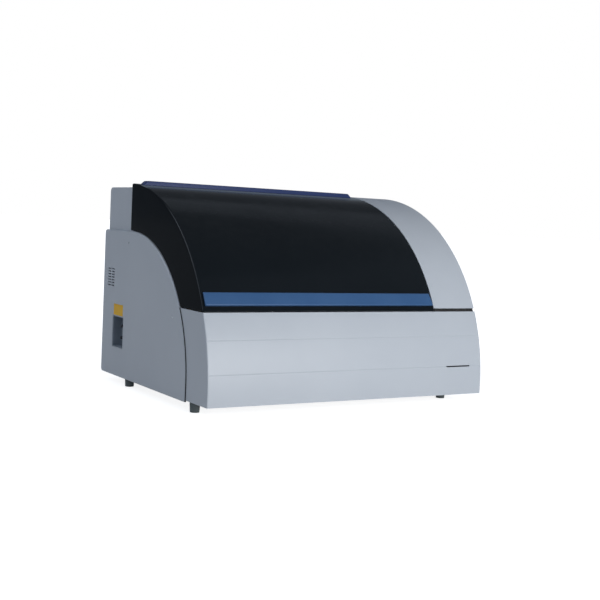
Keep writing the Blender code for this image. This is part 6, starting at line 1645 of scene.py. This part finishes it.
floor_mesh = bpy.data.meshes.new("floor")
corners = np.array([(-1, -1, 0), (1, -1, 0), (1, 1, 0), (-1, 1, 0)]) * FLOOR_REACH
floor_mesh.from_pydata(corners.tolist(), [], [[0, 1, 2, 3]])
floor = bpy.data.objects.new("floor", floor_mesh)
bpy.context.scene.collection.objects.link(floor)

paper = bpy.data.materials.new("floor_paper")
paper.use_nodes = True
nodes = Nodes(paper.node_tree)
paper.node_tree.nodes.clear()


def seen_directly(nodes):
    """One for camera and transmission rays, a share for glossy rays, zero for rays that only carry light."""
    rays = nodes.add("ShaderNodeLightPath").outputs
    in_gloss = nodes.math("MULTIPLY", rays["Is Glossy Ray"], GLOSS_SHARE)
    either = nodes.math("MAXIMUM", rays["Is Camera Ray"], in_gloss)
    return nodes.math("MAXIMUM", either, rays["Is Transmission Ray"])


place = nodes.add("ShaderNodeTexCoord").outputs["Object"]
away = nodes.add("ShaderNodeVectorMath", operation="LENGTH", inputs={0: place}).outputs["Value"]
own_light = nodes.math("MULTIPLY", nodes.between(away, *GLOW_GROWS, *FLOOR_GLOW), seen_directly(nodes))
tone = nodes.mix(nodes.noise(place, 9.0), (0.78, 0.78, 0.78, 1.0), (0.80, 0.80, 0.80, 1.0))
matte = nodes.add("ShaderNodeBsdfDiffuse", inputs={"Color": tone}).outputs[0]
glow = nodes.add("ShaderNodeEmission", inputs={"Strength": own_light}).outputs[0]
both = nodes.add("ShaderNodeAddShader", inputs={0: matte, 1: glow}).outputs[0]
nodes.add("ShaderNodeOutputMaterial", inputs={"Surface": both})
floor_mesh.materials.append(paper)
print("floor:", 2 * FLOOR_REACH, "m wide")

# %% [markdown]
# The world lights the instrument evenly, with a cool tint. Camera rays see it white, as the photograph's
# ground is. Gloss sees a studio instead: a pale horizon, a dim band higher up and one bright patch to the
# left, because a smoked lid shows little but what it mirrors.

# %% The world
AMBIENT = 0.31
SKY_TINT = (0.87, 0.97, 1.13, 1.0)
WHITE = (1.0, 1.0, 1.0, 1.0)
CEILING_GLOSS = 0.08
BAND_GLOSS = 0.16
PATCH_GLOSS = 3.0
PATCH_SIDE = (-0.72, 0.05, 0.69)

world = bpy.data.worlds.new("studio")
bpy.context.scene.world = world
world.use_nodes = True
world.node_tree.nodes.clear()
nodes = Nodes(world.node_tree)
rays = nodes.add("ShaderNodeLightPath").outputs
direction = nodes.add("ShaderNodeTexCoord").outputs["Generated"]
up = nodes.add("ShaderNodeSeparateXYZ", inputs={"Vector": direction}).outputs["Z"]
ceiling = nodes.between(up, 0.10, 0.55, GLOSS_SHARE, CEILING_GLOSS)
band = nodes.math("MULTIPLY", nodes.between(up, 0.60, 0.66), nodes.between(up, 0.76, 0.82, 1.0, 0.0))
studio = nodes.math("ADD", ceiling, nodes.math("MULTIPLY", band, BAND_GLOSS))
toward = nodes.add("ShaderNodeVectorMath", operation="DOT_PRODUCT", inputs={0: direction, 1: PATCH_SIDE})
studio = nodes.math("ADD", studio, nodes.between(toward.outputs["Value"], 0.80, 0.93, 0.0, PATCH_GLOSS))
white = nodes.math("MAXIMUM", rays["Is Camera Ray"], rays["Is Transmission Ray"])
strength = nodes.math("MAXIMUM", AMBIENT, white)
glossy = nodes.add("ShaderNodeMix", inputs={0: rays["Is Glossy Ray"], 2: strength, 3: studio})
tint = nodes.mix(white, SKY_TINT, WHITE)
sky = nodes.add("ShaderNodeBackground", inputs={"Color": tint, "Strength": glossy.outputs[0]}).outputs[0]
nodes.add("ShaderNodeOutputWorld", inputs={"Surface": sky})
print("ambient level:", AMBIENT)

# %% [markdown]
# Two soft lamps finish the light. A large one in front gives the cover its even pale grey, and a narrow
# one high on the left draws a thin light along the lid. Both are rectangles, because a point would
# throw hard shadows.

# %% Lamps
def softbox(name, place, target, size, power):
    """A rectangular lamp that looks at a target."""
    data = bpy.data.lights.new(name, "AREA")
    data.shape = "RECTANGLE"
    data.size, data.size_y = size
    data.energy = power
    lamp = bpy.data.objects.new(name, data)
    lamp.location = place
    lamp.rotation_euler = (Vector(target) - Vector(place)).to_track_quat("-Z", "Y").to_euler()
    bpy.context.scene.collection.objects.link(lamp)
    return lamp


softbox("key", (0.45, -3.05, 0.68), (0.0, -0.3, 0.18), (1.6, 1.1), 46.0)
softbox("left_strip", (-2.15, 0.10, 2.05), (-0.40, -0.15, 0.42), (1.7, 0.14), 3.0)

# %% [markdown]
# The camera stands where the photograph was taken from: in front and to the left, a little below the
# lid's top. Its three angles were fitted to the edges of the casing, and the lens follows from the
# width of the view.

# %% Camera
CAMERA_PLACE = Vector((-1.5859, -2.5952, 0.4832))
YAW_DEG = 31.929
PITCH_DEG = -4.212
ROLL_DEG = 2.741
FOCAL_SHARE = 1072.42 / 600

yaw, pitch, roll = (math.radians(a) for a in (YAW_DEG, PITCH_DEG, ROLL_DEG))
ahead = Vector((math.sin(yaw) * math.cos(pitch), math.cos(yaw) * math.cos(pitch), math.sin(pitch)))
level_right = Vector((math.cos(yaw), -math.sin(yaw), 0.0))
level_up = level_right.cross(ahead)
right = math.cos(roll) * level_right + math.sin(roll) * level_up
up = -math.sin(roll) * level_right + math.cos(roll) * level_up
camera_data = bpy.data.cameras.new("camera")
camera_data.lens = FOCAL_SHARE * camera_data.sensor_width
camera = bpy.data.objects.new("camera", camera_data)
turn_matrix = Matrix((right, up, -ahead)).transposed().to_4x4()
camera.matrix_world = Matrix.Translation(CAMERA_PLACE) @ turn_matrix
bpy.context.scene.collection.objects.link(camera)
bpy.context.scene.camera = camera
bpy.context.scene.view_settings.view_transform = "Standard"
print("lens:", round(camera_data.lens, 2), "mm")

# %% [markdown]
# The dressed instrument must be as large as its solids.
